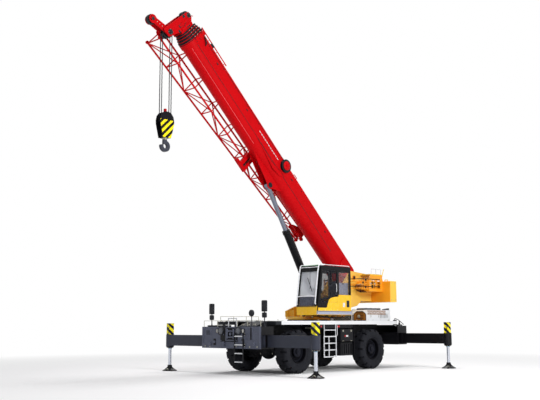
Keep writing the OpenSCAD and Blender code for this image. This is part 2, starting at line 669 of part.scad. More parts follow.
// Stowed lattice jib on the right side of the boom, with its stow brackets
module jib() color([0.72, 0.05, 0.07]) place() on_boom() {
    for (c = [0:3]) bar(jib_pt(c, jib_u0), jib_pt(c, jib_u1), jib_d);
    for (k = [0:jib_n]) for (e = [[0, 1], [2, 3], [0, 2], [1, 3]])
        bar(jib_pt(e[0], jib_bay(k)), jib_pt(e[1], jib_bay(k)), 46);
    for (k = [0:jib_n - 1]) for (e = [[1, 3], [2, 3]])
        bar(jib_pt(e[k % 2], jib_bay(k)), jib_pt(e[1 - k % 2], jib_bay(k + 1)), 40);
    for (u = [4300, 8600]) box(u - 60, u + 60, jib_y0 - 20, -boom_hw - seat, jib_w1 - 50, jib_w1 + 50);
}

// Telescoping sections with their end collars
module boom_section_2() color([0.85, 0.06, 0.08]) place() on_boom() section(1, 330, sec_end(1));
module boom_section_3() color([0.85, 0.06, 0.08]) place() on_boom() section(2, 480, sec_end(2));
module boom_section_4() color([0.85, 0.06, 0.08]) place() on_boom() section(3, 630, sec_end(3));
module boom_section_5() color([0.85, 0.06, 0.08]) place() on_boom() section(4, 780, sec_end(4));

// Boom head plates with the auxiliary nose
module boom_head() color([0.85, 0.06, 0.08]) place() on_boom() {
    u0 = sec_end(4);
    both() slab([[u0, 240], [top_sheave_u - 220, 260], [top_sheave_u - 100, top_sheave_w + 80],
        [top_sheave_u + 90, top_sheave_w + 80], [top_sheave_u + 130, top_sheave_w - 60],
        [sheave_u + 230, sheave_w - 150], [sheave_u + 150, sheave_w - 190], [sheave_u - 90, sheave_w - 170],
        [u0 + 80, -400], [u0, -400]], head_hw - head_t, head_hw);
    box(u0, u0 + 40, -head_hw + head_t, head_hw - head_t, -380, 220);
    both() slab([[sheave_u - 80, sheave_w + 100], [sheave_u + 90, sheave_w + 130], [nose_u + 60, nose_w + 90],
        [nose_u + 80, nose_w - 60], [nose_u - 60, nose_w - 90], [sheave_u - 60, sheave_w - 80]], nose_y0, nose_y1);
    ycyl(sheave_u, sheave_w, 60, -head_hw + 5, head_hw - 5);
    ycyl(top_sheave_u, top_sheave_w, 55, -head_hw + 5, head_hw - 5);
    ycyl(nose_u, nose_w, 40, -nose_y1 + 5, nose_y1 - 5);
    both() difference() {
        ycyl(nose_u, nose_w, nose_r - 20, nose_y0, nose_y1);
        for (k = [0:4]) ycyl(nose_u + 95 * cos(k * 72), nose_w + 95 * sin(k * 72), 26, nose_y0 - eps, nose_y1 + eps);
    }
    both() for (u = [u0 + 90, u0 + 230]) box(u, u + 70, head_hw - 1, head_hw + 22, -330, 180);
}

module sheave(u, w, r, b, y0, y1) difference() {
    ycyl(u, w, r, y0, y1);
    ycyl(u, w, b, y0 - eps, y1 + eps);
}

// Head and nose sheaves
module head_sheaves() color([0.08, 0.08, 0.09]) place() on_boom() {
    both() {
        sheave(sheave_u, sheave_w, sheave_r, 60 + seat, sheave_y0, sheave_y1);
        sheave(top_sheave_u, top_sheave_w, sheave_r + 10, 55 + seat, sheave_y0, sheave_y1);
    }
    sheave(nose_u, nose_w, nose_r, 40 + seat, -60, 60);
}

// Lift cylinder rod with its eye
module lift_rod() color([0.75, 0.76, 0.78]) place() on_lift() difference() {
    union() {
        ycyl(0, 0, eye_r, 7 - lift_y0, lift_y0 - 7);
        translate([-lift_len + rod_in, 0, 0]) rotate([0, 90, 0]) cylinder(d = rod_d, h = lift_len - rod_in);
    }
    ycyl(0, 0, 56, -lift_y0, lift_y0);
}

// Lift cylinder barrel with its foot eye
module lift_barrel() color([0.06, 0.06, 0.065]) place() on_lift() difference() {
    union() {
        translate([-lift_len + 90, 0, 0]) rotate([0, 90, 0]) cylinder(d = barrel_d, h = barrel_len - 90);
        translate([-lift_len + barrel_len - 130, 0, 0]) rotate([0, 90, 0]) cylinder(d = barrel_d + 26, h = 130);
        ycyl(-lift_len, 0, 150, -140, 140);
    }
    translate([-lift_len + 240, 0, 0]) rotate([0, 90, 0]) cylinder(d = rod_d + 2 * seat, h = barrel_len);
    ycyl(-lift_len, 0, lift_pin_r, -141, 141);
}

// Hoist rope falls between head and hook block
module rope_falls() color([0.5, 0.5, 0.5]) place() for (x = [-1, 1], y = [-1, 1])
    zcyl(hang_x + x * (sheave_r + rope_d / 2 + seat), y * (sheave_y0 + sheave_y1) / 2, rope_d / 2, block_z, hang_z);

// Hook block cheeks, sheaves and weights
module hook_block() color([0.1, 0.1, 0.1]) place() translate([hang_x, 0, block_z]) {
    both() ycyl(0, 0, sheave_r, sheave_y0, sheave_y1);
    both() slab([[-165, -540], [165, -540], [280, -80], [285, 40], [250, 190], [170, 290], [70, 335], [-70, 335],
        [-170, 290], [-250, 190], [-285, 40], [-280, -80]], sheave_y1 + 8, sheave_y1 + 40);
    ycyl(0, 0, 60, -sheave_y1 - 60, sheave_y1 + 60);
    box(-130, 130, -sheave_y1 - 20, sheave_y1 + 20, -540, -430);
}

// Forged hook under the block
module hook() color([0.35, 0.36, 0.37]) place() translate([hang_x, 0, block_z]) {
    zcyl(0, 0, 46, -640, -540);
    translate([0, 50, -hook_bowl]) rotate([90, 0, 0]) linear_extrude(100) difference() {
        union() {
            circle(190);
            translate([-60, 100]) square([120, 155]);
        }
        circle(82);
        translate([64, 30]) square([240, 270]);
    }
}

carrier_frame();
front_outrigger_box();
rear_outrigger_box();
axle_housings();
drive_line();
deck();
fenders();
engine_hood();
exhaust_box();
engine_block();
tool_box();
fuel_tank();
ladders();
carrier_lamps();
mirrors();
front_rails();
knuckle_fl();
knuckle_fr();
knuckle_rl();
knuckle_rr();
tyre_fl();
tyre_fr();
tyre_rl();
tyre_rr();
rim_fl();
rim_fr();
rim_rl();
rim_rr();
beam_fl();
beam_fr();
beam_rl();
beam_rr();
jack_fl();
jack_fr();
jack_rl();
jack_rr();
turntable_frame();
counterweight();
hoist_winches();
cab_lower();
cab_frame();
cab_glass();
operator_seat();
cab_controls();
door_panel();
door_glass();
boom_base();
jib();
boom_section_2();
boom_section_3();
boom_section_4();
boom_section_5();
boom_head();
head_sheaves();
lift_rod();
lift_barrel();
rope_falls();
hook_block();
hook();
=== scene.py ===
# Rough-terrain crane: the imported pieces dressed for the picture, in metres, +X forward, +Z up.
import json
import math

import bmesh
import bpy
from mathutils import Matrix, Vector

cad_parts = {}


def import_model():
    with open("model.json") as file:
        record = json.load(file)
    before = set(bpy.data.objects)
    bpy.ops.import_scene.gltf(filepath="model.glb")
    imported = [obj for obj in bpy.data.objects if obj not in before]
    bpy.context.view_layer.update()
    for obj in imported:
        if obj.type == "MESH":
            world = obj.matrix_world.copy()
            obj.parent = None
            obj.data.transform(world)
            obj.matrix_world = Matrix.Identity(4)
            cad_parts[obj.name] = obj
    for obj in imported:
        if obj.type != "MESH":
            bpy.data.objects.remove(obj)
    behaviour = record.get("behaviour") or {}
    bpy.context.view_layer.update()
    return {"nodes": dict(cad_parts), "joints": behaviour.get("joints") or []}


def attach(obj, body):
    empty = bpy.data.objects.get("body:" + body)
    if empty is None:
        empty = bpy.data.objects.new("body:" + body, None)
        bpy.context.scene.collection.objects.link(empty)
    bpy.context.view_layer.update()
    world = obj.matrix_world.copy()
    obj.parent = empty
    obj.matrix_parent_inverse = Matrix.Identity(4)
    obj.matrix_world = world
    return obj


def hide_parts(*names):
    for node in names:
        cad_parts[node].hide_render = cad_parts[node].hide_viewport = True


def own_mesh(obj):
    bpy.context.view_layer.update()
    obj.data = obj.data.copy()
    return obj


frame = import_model()

# Carrier: a box frame with a wide outrigger box welded across each end.
# Thick plate, cut and welded, sprayed with a dark blue-grey two-part enamel.
slew_x = next(j for j in frame["joints"] if j["name"] == "slew")["pos_m"][0]
slew_frame = Matrix.Translation((slew_x, 0, 0))


def screen(*levels):
    """A colour as seen on a screen, 0 to 255, in the linear light that a shader takes."""
    shares = [level / 255 for level in levels]
    return tuple(v / 12.92 if v < 0.0404 else ((v + 0.055) / 1.055) ** 2.4 for v in shares) + (1,)


def shader(name):
    """A new finish, with its node tree and its main shader."""
    finish = bpy.data.materials.new(name)
    finish.use_nodes = True
    tree = finish.node_tree
    return finish, tree, tree.nodes["Principled BSDF"]


def add(tree, kind, **sockets):
    """A node of this kind, with values for its sockets or settings."""
    node = tree.nodes.new("ShaderNode" + kind)
    for key, value in sockets.items():
        if key in node.inputs:
            node.inputs[key].default_value = value
        else:
            setattr(node, key, value)
    return node


def cloudy(tree, scale, detail, low=0.0, high=1.0):
    """Slow noise in the piece's own place, spread between two values."""
    place = add(tree, "TexCoord")
    noise = add(tree, "TexNoise", Scale=scale, Detail=detail)
    spread = add(tree, "MapRange", **{"From Min": 0.3, "From Max": 0.7, "To Min": low, "To Max": high})
    tree.links.new(place.outputs["Object"], noise.inputs["Vector"])
    tree.links.new(noise.outputs["Fac"], spread.inputs["Value"])
    return spread.outputs["Result"]


def blend_colours(tree, share, first, second):
    """The first colour where share is 0, the second where it is 1."""
    mix = add(tree, "Mix", data_type="RGBA")
    for socket, colour in ((6, first), (7, second)):
        if hasattr(colour, "links"):
            tree.links.new(colour, mix.inputs[socket])
        else:
            mix.inputs[socket].default_value = colour
    tree.links.new(share, mix.inputs[0])
    return mix.outputs[2]


def shade(colour, gain):
    """A colour made darker or lighter."""
    return tuple(min(1, c * gain) for c in colour[:3]) + (1,)


def enamel(name, colour, rough=0.35, drift=0.1, peel=0.0006, coat=0.0, metal=0.0, grain=60, shine=0.2):
    """Sprayed paint: colour that drifts a little, uneven gloss, and orange peel."""
    finish, tree, gloss = shader(name)
    tint = blend_colours(tree, cloudy(tree, 0.9, 6), shade(colour, 1 - drift), shade(colour, 1 + drift))
    tree.links.new(tint, gloss.inputs["Base Color"])
    tree.links.new(cloudy(tree, 7, 5, rough - 0.05, rough + 0.09), gloss.inputs["Roughness"])
    bump = add(tree, "Bump", Strength=1.0, Distance=peel)
    tree.links.new(cloudy(tree, grain, 2), bump.inputs["Height"])
    tree.links.new(bump.outputs["Normal"], gloss.inputs["Normal"])
    gloss.inputs["Metallic"].default_value = metal
    gloss.inputs["Coat Weight"].default_value = coat
    gloss.inputs["Specular IOR Level"].default_value = shine
    return finish


def along(tree, axis):
    """The piece's own place along one axis."""
    place, parts = add(tree, "TexCoord"), add(tree, "SeparateXYZ")
    tree.links.new(place.outputs["Object"], parts.inputs["Vector"])
    return parts.outputs[axis]


def sum_up(tree, kind, first, second):
    """One arithmetic step on a value that varies over the piece."""
    step = add(tree, "Math", operation=kind)
    for socket, value in zip(step.inputs, (first, second)):
        if hasattr(value, "links"):
            tree.links.new(value, socket)
        else:
            socket.default_value = value
    return step.outputs[0]


def before(tree, axis, limit):
    """1 before a limit along an axis, else 0."""
    return sum_up(tree, "LESS_THAN", along(tree, axis), limit)


def over(finish, share, colour):
    """A second coat of paint where share is 1."""
    tree = finish.node_tree
    base = tree.nodes["Principled BSDF"].inputs["Base Color"]
    tree.links.new(blend_colours(tree, share, base.links[0].from_socket, colour), base)


def wear(finish, *nodes):
    """The finish goes on whole CAD pieces."""
    for name in nodes:
        for slot in frame["nodes"][name].material_slots:
            slot.material = finish


carrier_grey = enamel("carrier_grey_enamel", screen(92, 96, 112), 0.42)
tree = carrier_grey.node_tree
rear_end = slew_x - 3
front_plate = slew_x + 3.955
# The outer ends of both outrigger boxes, short of the front face, are painted near-black: painted shade of
# the beam tunnels.
outer_end_shade = sum_up(tree, "GREATER_THAN", sum_up(tree, "ABSOLUTE", along(tree, "Y"), 0.0), 1.4)
over(carrier_grey, sum_up(tree, "MULTIPLY", outer_end_shade, before(tree, "X", front_plate)), screen(13, 13, 17))
# The rear box is painted near-black: painted shade.
over(carrier_grey, before(tree, "X", rear_end), screen(15, 15, 19))
wear(carrier_grey, "front_outrigger_box", "rear_outrigger_box")
# The frame is painted near-black: partly its black paint, partly painted shade under the deck.
chassis_black_and_shade = enamel("chassis_black_and_shade", screen(15, 15, 19), 0.5, drift=0.2, peel=0.001)
wear(chassis_black_and_shade, "carrier_frame")


# Front box fittings: recovery winch behind a roller fairlead, step slot and cover.
# Pressed frames and turned rollers, bolted to the face, with zinc-plated bolts.
zinc = enamel("zinc_plate", screen(176, 174, 160), 0.38, drift=0.15, metal=0.6)
# Near-black flat plates and discs stand in for open recesses: painted shade.
recess_shade_black = enamel("recess_shade_black", screen(12, 12, 15), 0.6, drift=0.2)
front_face = 3.97
FORE, BACK, LEFT, RIGHT, UP, DOWN = (1, 0, 0), (-1, 0, 0), (0, 1, 0), (0, -1, 0), (0, 0, 1), (0, 0, -1)


def settle(shape, paint):
    """Faces drawn since the last call take this finish."""
    done = shape.faces.layers.int.verify()
    for face in shape.faces:
        if not face[done]:
            face.material_index, face.smooth, face[done] = paint, True, 1


def block(shape, corner, opposite, paint=0, edge=0.006):
    """A plate or box between two corners, with its edges broken."""
    size = [abs(b - a) for a, b in zip(corner, opposite)]
    put = Matrix.Translation((Vector(corner) + Vector(opposite)) / 2) @ Matrix.Diagonal((*size, 1))
    made = bmesh.ops.create_cube(shape, size=1, matrix=put)
    edges = list({e for v in made["verts"] for e in v.link_edges})
    broken = min(edge, min(size) * 0.3)
    if broken:
        bmesh.ops.bevel(shape, geom=edges, offset=broken, segments=2, affect="EDGES", profile=0.5)
    settle(shape, paint)


def ring(shape, middle, run, side, r, sides):
    """Points on a circle round a run."""
    other = run.cross(side)
    turns = [2 * math.pi * k / sides for k in range(sides)]
    return [shape.verts.new(middle + (side * math.cos(t) + other * math.sin(t)) * r) for t in turns]


def skin(shape, rings, paint, ends=True):
    """Faces between rings of points that follow each other, and over both ends."""
    for a, b in zip(rings, rings[1:]):
        count = max(len(a), len(b))
        for k in range(count):
            n = (k + 1) % count
            if len(a) == 1:
                shape.faces.new((a[0], b[k], b[n]))
            elif len(b) == 1:
                shape.faces.new((a[k], a[n], b[0]))
            else:
                shape.faces.new((a[k], a[n], b[n], b[k]))
    if ends:
        shape.faces.new(rings[0][::-1])
        shape.faces.new(rings[-1])
    settle(shape, paint)


def turned(shape, centre, axis, profile, paint=0, sides=28):
    """A turned piece: (radius, height) pairs swept round an axis."""
    axis = Vector(axis).normalized()
    side = axis.orthogonal().normalized()
    rings = [ring(shape, Vector(centre) + axis * h, axis, side, r, sides if r > 0 else 1)
             for r, h in profile]
    skin(shape, rings, paint, ends=False)


def bolts(shape, places, axis, r=0.016, h=0.014, paint=0):
    """Hexagon heads on their washers."""
    head = [(r * 1.4, 0), (r * 1.4, h * 0.25), (r, h * 0.3), (r, h), (r * 0.7, h * 1.2), (0, h * 1.2)]
    for place in places:
        turned(shape, place, axis, head, paint, 6)


def cap(r, h, r_top, h_top):
    """The profile of a disc with a sloped rim."""
    return [(r, 0), (r, h), (r_top, h_top), (0, h_top)]


def knob(r, h, r_stem, h_stem, h_top):
    """The profile of a flange with a stem."""
    return [(r, 0), (r, h), (r_stem, h_stem), (r_stem, h_top), (0, h_top)]


def rod(r, h):
    """The profile of a plain round bar."""
    return [(0, 0), (r, 0), (r, h), (0, h)]


def piece(name, body, draw, *finishes, spot=slew_frame):
    """A piece drawn in its own frame, put in its spot, and riding on its body.

    The paint numbers in a drawing count its finishes from 0.
    """
    shape = bmesh.new()
    draw(shape)
    bmesh.ops.transform(shape, matrix=spot, verts=shape.verts)
    bmesh.ops.recalc_face_normals(shape, faces=shape.faces)
    mesh = bpy.data.meshes.new(name)
    shape.to_mesh(mesh)
    shape.free()
    mesh.set_sharp_from_angle(angle=0.6)
    for finish in finishes:
        mesh.materials.append(finish)
    made = bpy.data.objects.new(name, mesh)
    bpy.context.scene.collection.objects.link(made)
    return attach(made, body) or made


def front_fittings(s):
    face = front_face
    # The near-black plate behind the fairlead is painted shade in the winch opening.
    block(s, (face, -0.5, 1.1), (face + 0.006, 0.36, 1.6), 1, 0.003)
    block(s, (face, -0.19, 1.17), (face + 0.012, 0.26, 1.59), 1)
    for y, z in ((-0.46, 1.14), (-0.46, 1.54), (0.32, 1.14), (0.32, 1.54), (-0.34, 1.34)):
        turned(s, (face + 0.006, y, z), FORE, cap(0.022, 0.01, 0.014, 0.014), 2, 14)
    block(s, (face, -1.28, 1.3), (face + 0.01, -0.98, 1.52), 2)
    # Near-black slats: painted shade in the step slot.
    for z in (1.34, 1.38, 1.42, 1.46):
        block(s, (face + 0.009, -1.24, z), (face + 0.014, -1.02, z + 0.018), 1, 0.002)
    for y in (-0.8, 0.62):
        block(s, (face, y - 0.06, 0.98), (face + 0.012, y + 0.06, 1.2), 1, 0.004)
        turned(s, (face + 0.012, y, 1.09), FORE, cap(0.045, 0.03, 0.03, 0.04), 2, 20)
    frame_bars = ((-0.22, 1.15, -0.18, 1.6), (0.25, 1.15, 0.29, 1.6), (-0.22, 1.13, 0.29, 1.17),
                  (-0.22, 1.57, 0.29, 1.6))
    for y0, z0, y1, z1 in frame_bars:
        block(s, (face, y0, z0), (face + 0.035, y1, z1), 2)
    for y in (-0.12, 0.19):
        turned(s, (face + 0.04, y, 1.2), UP, rod(0.028, 0.34), 2, 16)
    for z in (1.26, 1.46):
        turned(s, (face + 0.03, -0.16, z), LEFT, rod(0.026, 0.39), 2, 16)
    turned(s, (face + 0.035, 0.03, 1.36), FORE,
           [(0, -0.02), (0.05, -0.02), (0.055, 0.01), (0.03, 0.025), (0, 0.025)], 2)
    # A near-black strip between two rails: painted shade in a step slot.
    block(s, (face, 0.98, 1.17), (face + 0.012, 1.06, 1.57), 1)
    for y in (0.955, 1.06):
        block(s, (face, y, 1.15), (face + 0.022, y + 0.025, 1.59), 2)
    block(s, (face, -1.45, 1.06), (face + 0.02, -1.39, 1.6), 2)
    block(s, (face, 1.39, 0.9), (face + 0.02, 1.45, 1.6), 2)
    bolts(s, [(face, y, 0.94) for y in (-1.3, -1.05, 0.95, 1.3)], FORE, 0.02, 0.016)
    bolts(s, [(face, -1.2 + 0.16 * k, 0.9) for k in range(16)], FORE, 0.012, 0.012, 2)
    bolts(s, [(face, y, z) for y in (-1.32, -0.95, 0.82, 1.25) for z in (1.05, 1.2, 1.38, 1.55)], FORE,
          0.016, 0.014, 2)
    bolts(s, [(face + 0.02, y, z) for y in (-1.42, 1.42) for z in (1.1, 1.25, 1.4, 1.55)], FORE,
          0.014, 0.012, 2)
    for y in (-1.05, 1.15):
        turned(s, (face, y, 1.03), FORE, knob(0.09, 0.018, 0.05, 0.024, 0.06), 2, 24)


piece("front_box_fittings", "carrier", front_fittings, zinc, recess_shade_black, carrier_grey)


def pipe(shape, points, r, paint=0, sides=10):
    """A bar or tube through the points, with its corners bent round."""
    points = [Vector(p) for p in points]
    path = [points[0]]
    for a, b, c in zip(points, points[1:], points[2:]):
        bend = min(r * 4, (b - a).length * 0.45, (c - b).length * 0.45)
        first, last = b + (a - b).normalized() * bend, b + (c - b).normalized() * bend
        path += [first * (1 - t) ** 2 + b * 2 * t * (1 - t) + last * t * t for t in (0, 0.25, 0.5, 0.75, 1)]
    path.append(points[-1])
    side, rings = (path[1] - path[0]).orthogonal().normalized(), []
    for k, p in enumerate(path):
        run = (path[min(k + 1, len(path) - 1)] - path[max(k - 1, 0)]).normalized()
        side = (side - run * side.dot(run)).normalized()
        rings.append(ring(shape, p, run, side, r, sides))
    skin(shape, rings, paint)


def handle(shape, first, second, rise, r, paint=0):
    """A bar bent up from two feet."""
    first, second, rise = Vector(first), Vector(second), Vector(rise)
    pipe(shape, [first, first + rise, second + rise, second], r, paint)


def sheet_cut(shape, outline, lift, paint=0):
    """A flat plate cut to an outline of points and raised by a vector for its thickness."""
    low = [shape.verts.new(p) for p in outline]
    high = [shape.verts.new(Vector(p) + Vector(lift)) for p in outline]
    skin(shape, [low, high], paint)


def front_top(s):
    sheet_cut(s, [(3.93, 0.37, 1.612), (3.93, 1.2, 1.612), (3.5, 1.2, 1.77), (3.4, 1.2, 1.77),
                  (3.4, 0.37, 1.77), (3.5, 0.37, 1.77)], (0, 0, 0.012))
    for y in (0.37, 1.19):
        sheet_cut(s, [(3.93, y, 1.612), (3.5, y, 1.77), (3.4, y, 1.77), (3.4, y, 1.612)], (0, 0.012, 0))
    for y in (0.5, 0.78, 1.06):
        handle(s, (3.86, y - 0.05, 1.655), (3.86, y + 0.05, 1.655), (0, 0, 0.035), 0.009, 1)
    block(s, (3.45, -1.3, 1.61), (3.88, -0.5, 1.66), 0, 0.015)
    bolts(s, [(x, y, 1.66) for x in (3.5, 3.83) for y in (-1.25, -0.9, -0.55)], UP, 0.012, 0.01, 1)
    for y in (-1.42, -0.7, 0.3, 0.8, 1.42):
        pipe(s, [(3.92, y, 1.61), (3.92, y, 1.82)], 0.011, 1)
    pipe(s, [(3.92, -1.42, 1.815), (3.92, 1.42, 1.815)], 0.008, 1)
    for y in (-0.62, 0.62):
        turned(s, (3.7, y, 1.66), UP,
               [(0.05, 0), (0.05, 0.02), (0.03, 0.03), (0.03, 0.08), (0, 0.085)], 0, 20)


satin_black = enamel("satin_black_enamel", screen(15, 15, 20), 0.5, drift=0.15)
piece("front_box_top", "carrier", front_top, satin_black, zinc)

# Rear box fittings: blank plate, towing jaw, pipes and brackets behind the deck.
# Folded brackets bolted to the box, hydraulic pipes clipped along it.
plate_white = enamel("blank_plate_white", screen(228, 228, 224), 0.4, drift=0.03)
rear_face = -4.35


def rear_fittings(s):
    face = rear_face
    block(s, (face - 0.012, 0.35, 1.18), (face, 0.85, 1.34), 2)
    block(s, (face - 0.018, -1.3, 1.42), (face, -0.55, 1.57))
    block(s, (face - 0.018, 0.55, 1.42), (face, 1.3, 1.57))
    for y in (-0.155, -0.05):
        block(s, (face - 0.02, y, 0.92), (face, y + 0.03, 1.12))
    bolts(s, [(face, y, z) for y in (-1.35, -0.9, -0.45, 0.25, 0.95, 1.35) for z in (0.92, 1.1, 1.36)],
          BACK, 0.016, 0.012, 1)
    for z in (0.98, 1.03, 1.08):
        pipe(s, [(face - 0.012, 0.15, z), (face - 0.012, 1.38, z)], 0.011, 1)
    for y in (-1.46, 1.36):
        block(s, (-3.72, y, 1.62), (-3.58, y + 0.1, 1.84), 0, 0.012)
        block(s, (-4.1, y, 1.612), (-3.8, y + 0.1, 1.66), 0, 0.012)
        turned(s, (-3.95, y + 0.05, 1.66), UP, knob(0.04, 0.05, 0.02, 0.07, 0.13), 0, 16)
        pipe(s, [(-3.65, y + 0.05, 1.84), (-3.65, y + 0.05, 1.9), (-3.9, y + 0.05, 1.84),
                 (-4.25, y + 0.05, 1.66)], 0.014)
    block(s, (-4.2, -1.0, 1.61), (-3.85, -0.2, 1.645), 0, 0.012)
    block(s, (-4.2, 0.2, 1.61), (-3.85, 1.0, 1.645), 0, 0.012)


piece("rear_box_fittings", "carrier", rear_fittings, satin_black, zinc, plate_white)

# Axles and drive line: cast housings, forged knuckles and a shaft to each axle.
# Cast iron and forged steel under a thin chassis black, dusted by the road.
running_black = enamel("running_gear_black", screen(22, 22, 26), 0.55, drift=0.25, peel=0.003)
wear(running_black, "axle_housings", "drive_line", "engine_block")
wear(running_black, "knuckle_fl", "knuckle_fr", "knuckle_rl", "knuckle_rr")
axle_x = 2.1
hub_z = 0.745


def around(centre, plane, r, turns):
    """Places on a circle at these angles, in a plane such as XZ."""
    across, upright = (Vector([axis == way for axis in "XYZ"]) for way in plane)
    return [Vector(centre) + across * r * math.cos(t) + upright * r * math.sin(t) for t in turns]


def running_gear(s):
    for x in (-axle_x, axle_x):
        turn = -1 if x > 0 else 1
        cover = (x + turn * 0.28 * math.cos(0.5), 0, hub_z)
        bolts(s, around(cover, "YZ", 0.13, [0.785 * k for k in range(8)]), (turn, 0, 0), 0.016, 0.03)
        turned(s, (x + turn * 0.3, 0, 0.785), (turn, 0, 0),
               [(0.09, 0), (0.09, 0.04), (0.06, 0.06), (0.06, 0.14), (0.085, 0.16), (0.085, 0.2),
                (0, 0.2)], 0, 24)
        for y in (-0.3, 0.3):
            for side in (-0.11, 0.11):
                pipe(s, [(x + side, y, 0.62), (x + side, y, 0.93)], 0.016, 1)
        pipe(s, [(x - 0.16, -0.6, 0.66), (x - 0.16, 0.6, 0.66)], 0.028)
        pipe(s, [(x + turn * 0.16, -0.5, 0.9), (x + turn * 0.2, 0.0, 1.0),
                 (x + turn * 0.16, 0.5, 0.9)], 0.012)
    block(s, (-0.36, -0.24, 0.8), (0.36, 0.24, 0.83), 0, 0.01)
    bolts(s, [(x, 0.21, z) for x in (-0.28, 0, 0.28) for z in (0.76, 0.95)], LEFT, 0.016, 0.014, 1)


piece("axle_fittings", "carrier", running_gear, running_black, zinc)

# Deck: folded steel sheet over the frame, pale grey enamel with raised tread lozenges.
# Hatches lie flush on it, hinged and latched, and an angle strip closes each edge.
def past(tree, axis, limit):
    """1 past a limit along an axis, else 0."""
    return sum_up(tree, "GREATER_THAN", along(tree, axis), limit)


def ripple(tree, axis):
    """A wave along an axis, as close as the lozenges."""
    return sum_up(tree, "SINE", sum_up(tree, "MULTIPLY", along(tree, axis), 90.0), 0.0)


deck_pale = enamel("deck_pale_enamel", screen(232, 234, 236), 0.45, drift=0.03)
tree = deck_pale.node_tree
lozenge = sum_up(tree, "MULTIPLY", ripple(tree, "X"), ripple(tree, "Y"))
tread = add(tree, "Bump", Strength=0.5, Distance=0.003)
normal = tree.nodes["Principled BSDF"].inputs["Normal"]
tree.links.new(lozenge, tread.inputs["Height"])
tree.links.new(normal.links[0].from_socket, tread.inputs["Normal"])
tree.links.new(tread.outputs["Normal"], normal)
dark_nose = slew_x + 2.98
over(deck_pale, past(tree, "X", dark_nose), screen(34, 36, 42))
wear(deck_pale, "deck")
hood_pale = enamel("hood_pale_enamel", screen(226, 228, 231), 0.4, drift=0.04)
wear(hood_pale, "engine_hood")


def deck_fittings(s):
    hatches = ((1.25, 2.05, -1.3, -0.5), (1.25, 2.05, 0.5, 1.3), (2.3, 3.1, -1.25, -0.3),
               (2.3, 3.1, 0.3, 1.25), (-1.9, -1.3, -1.35, -0.75))
    for x0, x1, y0, y1 in hatches:
        block(s, (x0, y0, 1.79), (x1, y1, 1.802), 0, 0.005)
        for x in (x0 + 0.12, x1 - 0.12):
            pipe(s, [(x - 0.06, y0 + 0.02, 1.808), (x + 0.06, y0 + 0.02, 1.808)], 0.009, 1)
        turned(s, ((x0 + x1) / 2, y1 - 0.09, 1.802), UP,
               [(0.045, 0), (0.045, 0.006), (0.03, 0.008), (0, 0.004)], 1, 20)
    for y in (-1.478, 1.466):
        block(s, (-3.66, y, 1.672), (3.24, y + 0.012, 1.8), 0, 0.004)
    for x in (-3.2, -1.2, 1.0, 3.1):
        for y in (-1.42, 1.42):
            turned(s, (x, y, 1.79), UP, [(0.035, 0), (0.035, 0.008), (0, 0.01)], 1, 16)
            handle(s, (x - 0.03, y, 1.795), (x + 0.03, y, 1.795), (0, 0, 0.04), 0.008, 1)
    for x in (1.15, 1.8, 2.45, 3.1):
        pipe(s, [(x, -1.46, 1.79), (x, -1.46, 1.98)], 0.011, 1)
    pipe(s, [(1.15, -1.46, 1.975), (3.1, -1.46, 1.975)], 0.009, 1)


piece("deck_fittings", "carrier", deck_fittings, hood_pale, zinc)

# Engine hood and silencer: sheet lids over the engine, a steel silencer on the left.
# Lids have lift handles and hinges; the silencer is aluminised steel gone dull.
silencer_grey = enamel("silencer_grey", screen(70, 73, 84), 0.5, drift=0.2, metal=0.3)
wear(silencer_grey, "exhaust_box")


